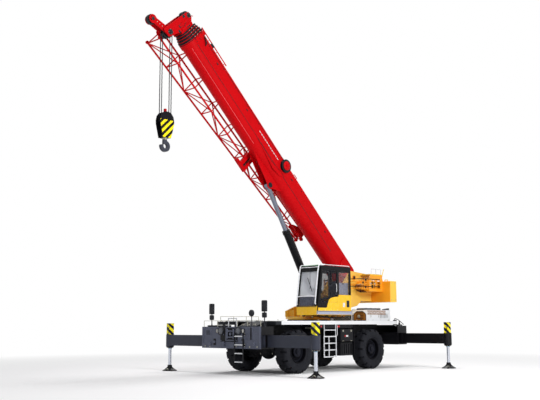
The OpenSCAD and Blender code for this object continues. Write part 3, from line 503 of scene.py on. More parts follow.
def hood_fittings(s):
    for y in (-1.0, -0.45, 0.1):
        block(s, (-3.5, y, 2.23), (-2.3, y + 0.5 if y < 0 else y + 0.42, 2.238), 0, 0.004)
        handle(s, (-2.4, y + 0.18, 2.235), (-2.4, y + 0.32, 2.235), (0, 0, 0.03), 0.008, 1)
        for x in (-3.4, -2.6):
            pipe(s, [(x - 0.05, y + 0.03, 2.243), (x + 0.05, y + 0.03, 2.243)], 0.008, 1)
    for y in (-1.2, 1.2):
        out = 0.006 if y > 0 else -0.006
        bolts(s, [(x, y, z) for x in (-3.55, -3.0, -2.5, -2.2) for z in (1.84, 2.08)], (0, out, 0),
              0.011, 0.008, 1)
        for x in (-2.85, -2.35):
            handle(s, (x, y, 1.95), (x, y, 2.05), (0, out * 4, 0), 0.008, 1)
    block(s, (-2.079, -0.45, 1.83), (-2.073, 0.45, 2.08), 2, 0)
    for k in range(11):
        for lean in (-0.12, 0.12):
            y = -0.42 + k * 0.084
            low, high = (max(-0.44, min(0.44, y + reach)) for reach in (-lean, lean))
            pipe(s, [(-2.07, low, 1.84), (-2.07, high, 2.07)], 0.005, 1, 6)
    for side in (-1, 1):
        corner = [(0.6, 1.82), (1.19, 1.82), (1.19, 2.06), (1.05, 2.17), (0.74, 2.17), (0.6, 2.06)]
        # The ochre corner plates are yellow parts painted in their shaded brown: painted shade.
        sheet_cut(s, [(-2.08, side * y, z) for y, z in corner], (0.022, 0, 0), 3)
        pipe(s, [(-2.06, side * y, z) for y, z in corner] + [(-2.06, side * 0.6, 1.82)], 0.012, 2)
        for z in (1.88, 1.94, 2.0, 2.06, 2.12):
            block(s, (-2.06, side * 0.72, z), (-2.052, side * 1.08, z + 0.022), 2, 0.002)
        turned(s, (-2.058, side * 0.86, 1.98), FORE, knob(0.06, 0.02, 0.03, 0.03, 0.05), 1, 20)
        pipe(s, [(-2.04, side * 0.86, 1.98), (-1.98, side * 0.92, 1.92),
                 (-2.0, side * 1.05, 1.83)], 0.014, 2)
        # The ochre side lattices are painted shade: a yellow mesh painted in its shaded brown.
        for k in range(13):
            x = -2.2 - k * 0.09
            for tilt in (-0.045, 0.045):
                pipe(s, [(x - tilt, side * 1.205, 2.06), (x + tilt, side * 1.205, 2.19)], 0.007, 3, 6)
        for z in (2.055, 2.195):
            pipe(s, [(-3.32, side * 1.205, z), (-2.16, side * 1.205, z)], 0.008, 3, 6)
        sheet_cut(s, [(x, side * 1.05, z)
                      for x, z in ((-3.62, 2.3), (-3.3, 2.26), (-3.3, 2.23), (-3.62, 2.23))],
                  (0, side * 0.12, 0), 2)
    turned(s, (-3.3, -0.7, 2.238), UP,
           [(0.06, 0), (0.06, 0.02), (0.045, 0.03), (0.045, 0.05), (0, 0.055)], 2, 20)


# Ochre: yellow painted darker and browner, as painted shade for yellow parts that stand in shade.
shaded_yellow = enamel("shaded_yellow_enamel", screen(150, 96, 34), 0.5, drift=0.2)
piece("hood_fittings", "carrier", hood_fittings, hood_pale, zinc, satin_black, shaded_yellow)

# Fenders, tool boxes and fuel tank: pressed sheet in satin black along both sides.
# Lids are hinged with over-centre latches; steel straps hold the tank.
wear(satin_black, "fenders", "tool_box", "fuel_tank")
lens_red = enamel("lens_red", screen(190, 18, 24), 0.2, drift=0.05, coat=0.5)
lens_white = enamel("lens_white", screen(232, 234, 236), 0.2, drift=0.04, coat=0.5)


def side_boxes(s):
    block(s, (-0.93, 1.445, 1.06), (-0.2, 1.455, 1.49))
    for x in (-0.8, -0.33):
        block(s, (x - 0.03, 1.455, 1.4), (x + 0.03, 1.468, 1.47), 1)
        pipe(s, [(x - 0.05, 1.458, 1.07), (x + 0.05, 1.458, 1.07)], 0.01, 1)
    block(s, (-0.62, 1.455, 1.22), (-0.5, 1.462, 1.28), 2)
    block(s, (-0.5, 1.455, 1.22), (-0.42, 1.462, 1.28), 3)
    pipe(s, [(-0.87, 1.43, 0.56), (-0.87, 1.445, 0.99), (-0.2, 1.445, 0.99), (-0.2, 1.43, 0.56)], 0.012)
    for x in (-0.75, -0.35):
        turned(s, (x, -1.18, 1.1), FORE,
               [(0.272, -0.025), (0.28, -0.02), (0.28, 0.02), (0.272, 0.025)], 1, 40)
        block(s, (x - 0.025, -1.2, 1.37), (x + 0.025, -1.14, 1.42), 1)
    for x, out in ((-0.93, -1), (-0.15, 1)):
        turned(s, (x, -1.18, 1.1), (out, 0, 0),
               [(0.262, 0), (0.255, 0.012), (0.1, 0.03), (0, 0.032)], 0, 40)
    turned(s, (-0.55, -1.3, 1.34), (0, -0.5, 0.8),
           [(0.06, 0), (0.06, 0.03), (0.05, 0.04), (0, 0.045)], 1, 24)
    for x in (-0.952, 0.952):
        out = 0.02 if x > 0 else -0.02
        for y in (-1.05, 1.05):
            block(s, (x, y - 0.3, 1.52), (x + out, y + 0.3, 1.57), 1)
            bolts(s, [(x + out, y - 0.22, 1.545), (x + out, y + 0.22, 1.545)], (out, 0, 0), 0.012, 0.01, 1)
            block(s, (x, y + 0.12, 0.6), (x + out / 2, y + 0.26, 0.66), 2)
    for y in (-1.437, 1.424):
        for x in (-0.1, 0.9):
            block(s, (x - 0.07, y, 1.57), (x + 0.07, y + 0.013, 1.63), 3)


piece("side_box_fittings", "carrier", side_boxes, satin_black, zinc, lens_white, lens_red)

# Ladders and rails: black box-section sides with pale non-slip rungs.
# Extruded aluminium rungs riveted to steel sides, bolted to the box and the deck.
def near(tree, axis, middle, reach):
    """1 within reach of a middle along an axis, else 0."""
    step = add(tree, "Math", operation="COMPARE")
    step.inputs[1].default_value = middle
    step.inputs[2].default_value = reach
    tree.links.new(along(tree, axis), step.inputs[0])
    return step.outputs[0]


ladder_pale = enamel("ladder_pale", screen(222, 224, 228), 0.35, drift=0.05, metal=0.2)
tree = ladder_pale.node_tree
rails = sum_up(tree, "MAXIMUM", near(tree, "Y", 0.295, 0.0165), near(tree, "Y", 0.709, 0.0165))
over(ladder_pale, rails, screen(20, 21, 25))
wear(ladder_pale, "ladders", "front_rails")


def ladder_fittings(s):
    for k in range(4):
        for n in range(7):
            block(s, (4.042, 0.335 + n * 0.052, 0.445 + k * 0.285),
                  (4.068, 0.357 + n * 0.052, 0.452 + k * 0.285), 0, 0.002)
    for y in (0.295, 0.709):
        bolts(s, [(3.972, y, z) for z in (1.325, 1.395, 0.945, 1.015)], FORE, 0.011, 0.01, 1)
    for side in (-1, 1):
        for z in (0.536, 0.776, 1.016, 1.256):
            for n in range(11):
                block(s, (0.13 + n * 0.055, side * 1.455 - 0.012, z),
                      (0.15 + n * 0.055, side * 1.455 + 0.012, z + 0.006), 0, 0.002)
        pipe(s, [(0.02, side * 1.44, 1.66), (0.02, side * 1.47, 1.6), (0.02, side * 1.47, 1.3),
                 (0.07, side * 1.455, 1.24)], 0.011)


piece("ladder_fittings", "carrier", ladder_fittings, ladder_pale, zinc)

# Lamps: pressed reflectors behind ribbed lenses, in moulded black housings.
# Dark-glassed head lamps and pale turn lamps face forward, red lamps face back.
lamp_lens = enamel("lamp_lens", screen(78, 82, 92), 0.12, drift=0.06, coat=0.8, grain=200, peel=0.002)
tree = lamp_lens.node_tree
turn_lamp = sum_up(tree, "MAXIMUM", near(tree, "Y", -0.645, 0.05), near(tree, "Y", 0.645, 0.05))
over(lamp_lens, turn_lamp, screen(206, 204, 198))
over(lamp_lens, before(tree, "X", rear_end), screen(176, 14, 20))
wear(lamp_lens, "carrier_lamps")
moulded_black = enamel("moulded_black", screen(34, 36, 42), 0.5, drift=0.12, peel=0.001)


def lamp_rims(s):
    for y in (-0.467, 0.414):
        turned(s, (front_face, y, 1.464), FORE,
               [(0.15, 0), (0.15, 0.03), (0.138, 0.05), (0.118, 0.05), (0.112, 0.04)], 0, 40)
        turned(s, (4.01, y, 1.464), FORE, [(0.1, 0), (0.085, 0.008), (0.04, 0.013), (0, 0.014)], 1, 40)
        for z in (-0.05, 0, 0.05):
            reach = math.sqrt(0.1 ** 2 - z * z)
            rib = [(4.013, y - reach, 1.464 + z), (4.016, y, 1.464 + z), (4.013, y + reach, 1.464 + z)]
            pipe(s, rib, 0.004, 1, 6)
        bolts(s, around((4.012, y, 1.464), "YZ", 0.127, (0.8, 2.4, 3.9, 5.5)), FORE, 0.008, 0.006, 2)
    turn_rim = ((-0.06, 1.4, -0.045, 1.53), (0.045, 1.4, 0.06, 1.53), (-0.06, 1.395, 0.06, 1.41),
                (-0.06, 1.52, 0.06, 1.535))
    rear_rim = ((1.03, 1.405, 1.4, 1.42), (1.03, 1.53, 1.4, 1.545), (1.155, 1.42, 1.165, 1.53),
                (1.265, 1.42, 1.275, 1.53))
    for side in (-1, 1):
        y = side * 0.645
        for y0, z0, y1, z1 in turn_rim:
            block(s, (front_face, y + y0, z0), (4.008, y + y1, z1), 0, 0.004)
        for y0, z0, y1, z1 in rear_rim:
            block(s, (-4.374, side * y0, z0), (rear_face, side * y1, z1), 0, 0.003)


piece("lamp_rims", "carrier", lamp_rims, moulded_black, lamp_lens, zinc)

# Mirrors: moulded black shells on steel posts, with silvered glass facing back.
# The small lower ones and the round one at the front are convex.
wear(moulded_black, "mirrors")
mirror_silver = enamel("mirror_silver", screen(206, 212, 218), 0.05, drift=0.02, peel=0.0001, metal=1.0)


def mirror_faces(s):
    for x, y, z in ((3.64, 1.35, 2.105), (3.59, -1.35, 2.045)):
        for low, high, wide in ((0.03, 0.35, 0.085), (-0.18, -0.045, 0.066)):
            block(s, (x - 0.004, y - wide, z + low), (x + 0.002, y + wide, z + high), 0, 0.03)
        for h in (0.06, 0.3):
            turned(s, (x + 0.07, y, z + h), FORE, cap(0.03, 0.012, 0.015, 0.018), 1, 16)
        turned(s, (x + 0.03, y, 1.61), UP,
               [(0.05, 0), (0.05, 0.012), (0.03, 0.02), (0.024, 0.08), (0.018, 0.09)], 1, 20)
    turned(s, (3.91, 1.0, 2.06), BACK, [(0.1, -0.001), (0.095, 0.004), (0.06, 0.012), (0, 0.016)], 0, 32)
    turned(s, (3.96, 1.0, 2.06), FORE, [(0.105, 0), (0.09, 0.02), (0.05, 0.032), (0, 0.036)], 1, 32)


piece("mirror_faces", "carrier", mirror_faces, mirror_silver, moulded_black)

# Wheels: wide lugged tyres on dished steel rims with planetary hubs.
# Moulded rubber, rim rings rolled and welded, hub covers bolted on.
rubber = enamel("tyre_rubber", screen(24, 25, 31), 0.75, drift=0.2, peel=0.002)
wear(rubber, "tyre_fl", "tyre_fr", "tyre_rl", "tyre_rr")
rim_black = enamel("rim_black_enamel", screen(11, 11, 16), 0.6, shine=0.08)
wear(rim_black, "rim_fl", "rim_fr", "rim_rl", "rim_rr")
hub_grey = enamel("hub_grey_enamel", screen(24, 25, 33), 0.55, drift=0.12, shine=0.1)


def evenly(count, start=0.0):
    """Angles spread round a full turn."""
    return [2 * math.pi * (k + start) / count for k in range(count)]


def wheel_rings(s):
    hub = (0, 0, 0)
    turned(s, hub, LEFT, [(0.363, 0.19), (0.366, 0.215), (0.385, 0.222), (0.398, 0.21),
                          (0.398, 0.19)], 0, 56)
    turned(s, hub, LEFT, [(0.452, 0.239), (0.456, 0.251), (0.468, 0.253), (0.474, 0.242)], 1, 64)
    turned(s, hub, LEFT, [(0.508, 0.249), (0.514, 0.258), (0.56, 0.2585), (0.566, 0.252)], 1, 64)
    turned(s, hub, LEFT, [(0.3, 0.061), (0.305, 0.085), (0.33, 0.09), (0.35, 0.085), (0.355, 0.061)], 2, 48)
    turned(s, hub, LEFT, [(0.185, 0.15), (0.178, 0.162), (0.12, 0.168), (0.096, 0.165)], 2, 40)
    turned(s, hub, LEFT, [(0.094, 0.2), (0.085, 0.212), (0.05, 0.216), (0.045, 0.23), (0, 0.232)], 2, 32)
    bolts(s, around((0, 0.06, 0), "XZ", 0.245, evenly(20)), LEFT, 0.015, 0.03, 2)
    bolts(s, around((0, 0.163, 0), "XZ", 0.152, evenly(12)), LEFT, 0.011, 0.012, 2)
    for place in around((0, 0.062, 0), "XZ", 0.3, evenly(8, 0.5)):
        turned(s, place, LEFT, knob(0.026, 0.004, 0.018, 0.004, 0.001), 0, 14)
    pipe(s, [(0.345, 0.07, 0), (0.34, 0.17, 0)], 0.006, 3, 8)


for end, x in (("front_", axle_x), ("rear_", -axle_x)):
    for hand, side in (("left", 1), ("right", -1)):
        place = end + hand
        hub = Matrix.Translation((x, side * 1.23, hub_z))
        outward = slew_frame @ hub @ Matrix.Diagonal((1, side, 1, 1))
        piece("wheel_rings_" + place, "wheel_" + place, wheel_rings, rim_black, rubber, hub_grey,
              zinc, spot=outward)

# Outrigger beams: welded box beams sliding in the boxes, each with an upright jack.
# The square posts over the jacks carry yellow and navy warning stripes.
def reach_along(tree, run):
    """How far the piece's own place lies along a run."""
    reach = add(tree, "VectorMath", operation="DOT_PRODUCT")
    reach.inputs[1].default_value = run
    tree.links.new(add(tree, "TexCoord").outputs["Object"], reach.inputs[0])
    return reach.outputs["Value"]


def stripes(tree, run):
    """0 and 1 by turns, in bands that lie across a run."""
    return sum_up(tree, "GREATER_THAN", sum_up(tree, "FRACT", reach_along(tree, run), 0.0), 0.5)


beam_grey = enamel("beam_grey_enamel", screen(52, 55, 67), 0.4)
tree = beam_grey.node_tree
band = stripes(tree, (-2.9, 2.9, 4.2))
beam_top = 1.328
post = past(tree, "Z", beam_top)
rear_beams = slew_x - 3.7
# The rear beams are painted near-black: painted shade.
over(beam_grey, before(tree, "X", rear_beams), screen(10, 10, 13))
over(beam_grey, post, screen(254, 238, 30))
over(beam_grey, sum_up(tree, "MULTIPLY", post, band), screen(16, 17, 44))
wear(beam_grey, "beam_fl", "beam_fr", "beam_rl", "beam_rr")
seal_blue = enamel("seal_blue", screen(150, 196, 224), 0.4, drift=0.06)
jack_spots = {}
for place, x, side in (("front_left", 3.52, 1), ("front_right", 3.81, -1), ("rear_left", -4.19, 1),
                       ("rear_right", -3.9, -1)):
    jack_spots[place] = slew_frame @ Matrix.Translation((x, side * 3.47, 0))


def beam_fittings(s):
    turned(s, (0, 0, 0.885), DOWN, [(0.134, 0), (0.134, 0.02), (0.12, 0.026), (0.09, 0.026)], 1, 36)
    bolts(s, around((0, 0, 0.859), "XY", 0.115, [k * math.pi / 4 + 0.4 for k in range(8)]), DOWN,
          0.013, 0.016, 2)
    turned(s, (0, 0, 0.825), DOWN, [(0.078, -0.03), (0.078, 0.008), (0.06, 0.014)], 0, 32)
    block(s, (-0.105, -0.105, 1.735), (0.105, 0.105, 1.739), 1, 0.001)
    for side in (-1, 1):
        pipe(s, [(side * 0.104, 0.03, 0.95), (side * 0.108, 0.03, 1.3),
                 (side * 0.104, 0.03, 1.62)], 0.008, 3)
        for z in (1.05, 1.35, 1.58):
            block(s, (side * 0.105 - 0.012, 0.01, z), (side * 0.105 + 0.012, 0.05, z + 0.02), 2, 0.002)
    bolts(s, [(x, y, 1.739) for x in (-0.07, 0.07) for y in (-0.07, 0.07)], UP, 0.012, 0.001, 2)


for place, spot in jack_spots.items():
    piece("beam_fittings_" + place, "outrigger_" + place, beam_fittings, seal_blue, satin_black, zinc,
          moulded_black, spot=spot)

# Jacks: hard-chromed rods on cast round pads that carry the crane off its tyres.
# The pad turns on a ball under the rod and is painted black.
jack_chrome = enamel("jack_chrome", screen(200, 204, 214), 0.16, drift=0.04, peel=0.0001, metal=1.0)
tree = jack_chrome.node_tree
pad_top = 0.2005
pad = before(tree, "Z", pad_top)
over(jack_chrome, pad, screen(12, 12, 17))
tree.links.new(sum_up(tree, "SUBTRACT", 1.0, pad), tree.nodes["Principled BSDF"].inputs["Metallic"])
wear(jack_chrome, "jack_fl", "jack_fr", "jack_rl", "jack_rr")


def pad_fittings(s):
    turned(s, (0, 0, 0), UP, [(0.262, 0.026), (0.255, 0.034), (0.23, 0.041), (0.222, 0.042)], 0, 48)
    turned(s, (0, 0, 0.2), UP, [(0.082, -0.03), (0.085, 0), (0.078, 0.018), (0.06, 0.022)], 0, 32)
    for t in evenly(8):
        out, thick = Vector((math.cos(t), math.sin(t), 0)), Vector((math.sin(t), -math.cos(t), 0)) * 0.012
        rib = [out * r + Vector((0, 0, z))
               for r, z in ((0.085, 0.1), (0.235, 0.035), (0.12, 0.115), (0.088, 0.16))]
        sheet_cut(s, [p - thick / 2 for p in rib], thick)
    for x, y, z in around((0, 0, 0.05), "XY", 0.2, (0.4, 0.4 + math.pi)):
        handle(s, (x, y - 0.05, z), (x, y + 0.05, z), (0, 0, 0.04), 0.008, 1)


for place, spot in jack_spots.items():
    piece("pad_fittings_" + place, "jack_" + place, pad_fittings, satin_black, zinc, spot=spot)

# Slewing frame: cheeks, tail and winch bay welded from plate, in warm yellow enamel.
# It turns on a bolted ball-bearing ring; hoses rise through the middle of the ring.
crane_yellow = enamel("crane_yellow_enamel", screen(248, 164, 36), 0.32, drift=0.05, coat=0.15)
tree = crane_yellow.node_tree
# The cheeks are painted a lighter yellow than the orange of the rest of the frame: painted light on their
# lit sides.
over(crane_yellow, near(tree, "Y", 0.0, 0.4265), screen(255, 204, 86))
outside = sum_up(tree, "SUBTRACT", 1.0, near(tree, "Y", 0.0, 0.43))
over(crane_yellow, sum_up(tree, "MULTIPLY", past(tree, "Z", 3.6), outside), screen(250, 200, 44))
wear(crane_yellow, "turntable_frame")
hose_black = enamel("hose_black", screen(20, 20, 23), 0.55, drift=0.15)
foot_x, foot_z = -2.33, 3.51


def slewing_fittings(s):
    bolts(s, around((0, 0, 1.96), "XY", 0.78, evenly(36)), UP, 0.014, 0.016, 1)
    for side in (-1, 1):
        out = (0, side, 0)
        turned(s, (foot_x, side * 0.425, foot_z), out,
               [(0.115, 0), (0.115, 0.012), (0.1, 0.018), (0.08, 0.018)], 0, 36)
        turned(s, (foot_x, side * 0.45, foot_z), out,
               [(0.068, 0), (0.06, 0.006), (0.03, 0.008), (0, 0.008)], 2)
        foot_ring = around((foot_x, side * 0.437, foot_z), "XZ", 0.095, (0.5, 1.55, 2.6, 3.65, 4.7, 5.75))
        bolts(s, foot_ring, out, 0.009, 0.008, 1)
        block(s, (-2.95, side * 0.4251, 3.2), (-2.05, side * 0.4451, 3.225), 0, 0)
        for x in (-1.3, -0.7, 0.1, 0.6):
            bolts(s, [(x, side * 0.425, z) for z in (2.02, 2.1)], out, 0.013, 0.012, 1)
        block(s, (0.76, side * 0.3751, 1.965), (0.775, side * 0.4251, 2.17), 0, 0)
        turned(s, (0.45, side * 0.425, 2.2), out, knob(0.05, 0.01, 0.03, 0.012, 0.002), 2, 20)
        block(s, (-3.42, side * 0.5, 3.64), (-2.76, side * 0.94, 3.652), 2, 0.004)
        for x in (-3.4, -3.06, -2.76):
            pipe(s, [(x, side * 0.97, 3.64), (x, side * 0.97, 3.86)], 0.013, 3)
        pipe(s, [(-3.4, side * 0.97, 3.855), (-2.76, side * 0.97, 3.855)], 0.013, 3)
        pipe(s, [(-3.44, side * 0.97, 3.5), (-3.5, side * 0.97, 3.66), (-3.62, side * 0.95, 3.87)], 0.014)
        block(s, (-2.54, side * 0.5, 3.03), (-2.4, side * 0.9, 3.32), 0, 0.01)
        for k in range(5):
            y = side * (0.55 + 0.07 * k)
            turned(s, (-2.4, y, 3.22), FORE, knob(0.022, 0.02, 0.015, 0.025, 0.06), 1, 12)
            pipe(s, [(-2.36, y, 3.22), (-2.28, y, 3.2), (-2.3, y, 3.02), (-2.6, y, 2.93)], 0.012, 2, 8)
        for z, paint in ((3.07, 0), (3.15, 2), (3.24, 0), (3.35, 0), (3.44, 2)):
            pipe(s, [(-3.26, side * 1.003, z), (-2.12, side * 0.985, z), (-2.02, side * 0.9, z),
                     (-2.0, side * 0.43, z)], 0.014, paint, 8)
        for x in (-2.15, -2.32, -2.48):
            pipe(s, [(x, side * 0.962, 3.0), (x, side * 0.962, 3.5)], 0.017, 0, 8)
        for x, z in ((-2.4, 3.1), (-2.24, 3.28), (-2.42, 3.38)):
            block(s, (x - 0.05, side * 0.9, z - 0.05), (x + 0.05, side * 0.955, z + 0.05), 2, 0.008)
        for x in (-3.1, -2.84):
            pipe(s, [(x, side * 0.995, 3.06), (x, side * 0.995, 3.42)], 0.014)
        bolts(s, [(x, side * 0.99, z) for x in (-3.35, -2.62) for z in (3.05, 3.3, 3.5)], out,
              0.012, 0.01, 1)
        for x in (-2.95, -2.68):
            turned(s, (x - 0.02, side * 0.97, 3.25), out,
                   [(0.05, -0.02), (0.05, 0.02), (0.03, 0.03), (0, 0.03)], 1, 20)
    pipe(s, [(-0.75, 1.12, 1.99), (-0.6, 1.18, 1.93), (0.2, 1.2, 1.92), (0.75, 1.16, 1.99)], 0.022, 2)
    # Ochre pipes and blocks by the slewing ring are yellow parts painted in their shaded brown: painted
    # shade.
    pipe(s, [(-0.5, 0.98, 1.99), (-0.3, 1.02, 1.93), (0.45, 1.02, 1.93), (0.7, 0.95, 1.99)], 0.02, 4)
    for x0, x1, y0, y1 in ((-0.42, -0.18, 1.02, 1.14), (0.3, 0.52, 1.04, 1.16), (0.72, 0.9, 0.7, 0.95)):
        block(s, (x0, y0, 1.9), (x1, y1, 2.0), 4, 0.01)
        turned(s, ((x0 + x1) / 2, y1, 1.95), LEFT, knob(0.03, 0.012, 0.018, 0.016, 0.04), 1, 14)
    for y in (-0.24, -0.19, 0.19, 0.24):
        pipe(s, [(-0.95, y, 1.97), (-1.05, y, 2.2), (-1.5, y, 2.5), (-2.1, y, 2.75),
                 (-2.5, y * 1.2, 2.7)], 0.016, 2, 8)
    for side in (-1, 1):
        y = side * 0.45
        # Ochre plates: yellow painted in its shaded brown, as painted shade.
        sheet_cut(s, [(-1.42, y, 1.965), (-1.0, y, 1.965), (-1.0, y, 2.12), (-1.12, y, 2.25),
                      (-1.3, y, 2.25), (-1.42, y, 2.12)], (0, side * 0.22, 0), 4)
        turned(s, (-1.21, y + side * 0.22, 2.08), (0, side, 0),
               [(0.09, 0), (0.09, 0.03), (0.06, 0.045), (0.06, 0.1), (0, 0.105)], 1, 24)


piece("slewing_frame_fittings", "superstructure", slewing_fittings, crane_yellow, zinc, hose_black,
      ladder_pale, shaded_yellow)

# Counterweight: one steel slab pinned across the tail, sprayed pale yellow.
# Lifting eyes stand on it, and lamps and reflectors face back.
weight_yellow = enamel("counterweight_yellow_enamel", screen(252, 206, 80), 0.38, drift=0.03)
wear(weight_yellow, "counterweight")


def weight_fittings(s):
    for y in (-0.95, 0.95):
        handle(s, (-3.78, y - 0.07, 3.38), (-3.78, y + 0.07, 3.38), (0, 0, 0.07), 0.018)
        block(s, (-3.82, y - 0.11, 3.38), (-3.74, y + 0.11, 3.395), 0, 0.004)
        block(s, (-4.032, y - 0.16, 2.68), (-4.02, y + 0.16, 2.78), 2, 0.01)
        block(s, (-4.03, y - 0.12, 2.86), (-4.02, y + 0.12, 2.92), 1)
        # Near-black discs on the back stand in for recesses: painted shade.
        turned(s, (-4.02, y * 0.55, 3.22), BACK, knob(0.07, 0.01, 0.05, 0.014, 0.002), 3, 24)
    bolts(s, [(-4.02, y, z) for y in (-1.1, -0.4, 0.4, 1.1) for z in (2.62, 3.31)], BACK, 0.02, 0.012, 1)
    for side in (-1, 1):
        bolts(s, [(x, side * 1.35, z) for x in (-3.82, -3.56) for z in (2.63, 3.3)], (0, side, 0),
              0.016, 0.01, 1)
    turned(s, (-3.7, 0.2, 3.38), UP,
           [(0.06, 0), (0.06, 0.03), (0.05, 0.04), (0.05, 0.11), (0.03, 0.14), (0, 0.145)], 4, 24)


amber_dome = enamel("amber_dome", screen(236, 132, 20), 0.15, drift=0.04, coat=0.6)
piece("counterweight_fittings", "superstructure", weight_fittings, weight_yellow, zinc, lens_red,
      recess_shade_black, amber_dome)

# Winches: grooved drums between the cheeks with rope laid in close turns.
# Cast drums, flanges turned, wire rope wound under tension.
wear(satin_black, "hoist_winches")
rope_steel = enamel("rope_steel", screen(34, 35, 41), 0.5, drift=0.3, metal=0.2)


def drum_rope(s):
    lay = ((0, -0.0125), (0.009, -0.009), (0.0125, 0), (0.009, 0.009), (0, 0.0125))
    for x, z, r, n in ((-2.96, 2.96, 0.23, 24), (-3.18, 3.42, 0.15, 24)):
        for k in range(n):
            y = -0.295 + k * 0.59 / (n - 1)
            turned(s, (x, y, z), LEFT, [(r + out, off) for out, off in lay])
        for side in (-1, 1):
            flange = around((x, side * 0.335, z), "XZ", r + 0.02, [0.785 * t for t in range(8)])
            bolts(s, flange, (0, side, 0), 0.009, 0.008, 1)


piece("drum_rope", "superstructure", drum_rope, rope_steel, zinc)

# Cab: yellow lower body, black posts and roof, tinted panes, on the left of the boom.
# Folded and pressed steel, sprayed; panes are laminated glass set in rubber.
cab_yellow = enamel("cab_yellow_enamel", screen(249, 196, 34), 0.25, drift=0.04, coat=0.3)
tree = cab_yellow.node_tree
over(cab_yellow, past(tree, "Y", 1.4005), screen(168, 172, 190))
wear(cab_yellow, "cab_lower")
cab_black = enamel("cab_black_enamel", screen(10, 10, 13), 0.3, shine=0.15)
wear(cab_black, "cab_frame", "door_panel")


def pane(name, colour, clear, rough=0.03):
    """Tinted glass that lets part of the light through."""
    finish, tree, gloss = shader(name)
    tree.links.new(cloudy(tree, 3, 3, rough, rough + 0.05), gloss.inputs["Roughness"])
    tint = blend_colours(tree, cloudy(tree, 1.5, 3), shade(colour, 0.9), shade(colour, 1.1))
    tree.links.new(tint, gloss.inputs["Base Color"])
    gloss.inputs["IOR"].default_value = 1.3
    gloss.inputs["Alpha"].default_value = 1 - clear
    return finish


cab_pane = pane("cab_glass_tint_and_reflection", screen(232, 236, 244), clear=0.55)
tree = cab_pane.node_tree
behind_door = before(tree, "X", slew_x - 0.1)
roof_z, sill_z = 3.745, 2.67
# Behind the door the pane is tinted a darker reddish grey: a painted reflection of the yellow cheek beside
# it.
over(cab_pane, behind_door, screen(150, 138, 138))
over(cab_pane, past(tree, "Z", roof_z), screen(60, 160, 90))
over(cab_pane, before(tree, "Z", sill_z), screen(104, 108, 124))
side_pane = sum_up(tree, "MULTIPLY", behind_door, 0.25)
tree.links.new(sum_up(tree, "SUBTRACT", 0.45, side_pane), tree.nodes["Principled BSDF"].inputs["Alpha"])
wear(cab_pane, "cab_glass")
door_pane = pane("door_glass_tint", screen(20, 22, 30), clear=0.6)
wear(door_pane, "door_glass")
grab_silver = enamel("grab_bar_silver", screen(238, 240, 244), 0.25, drift=0.04, metal=0.1)
dash_grey = enamel("dash_grey", screen(84, 87, 100), 0.6, drift=0.1, peel=0.002)


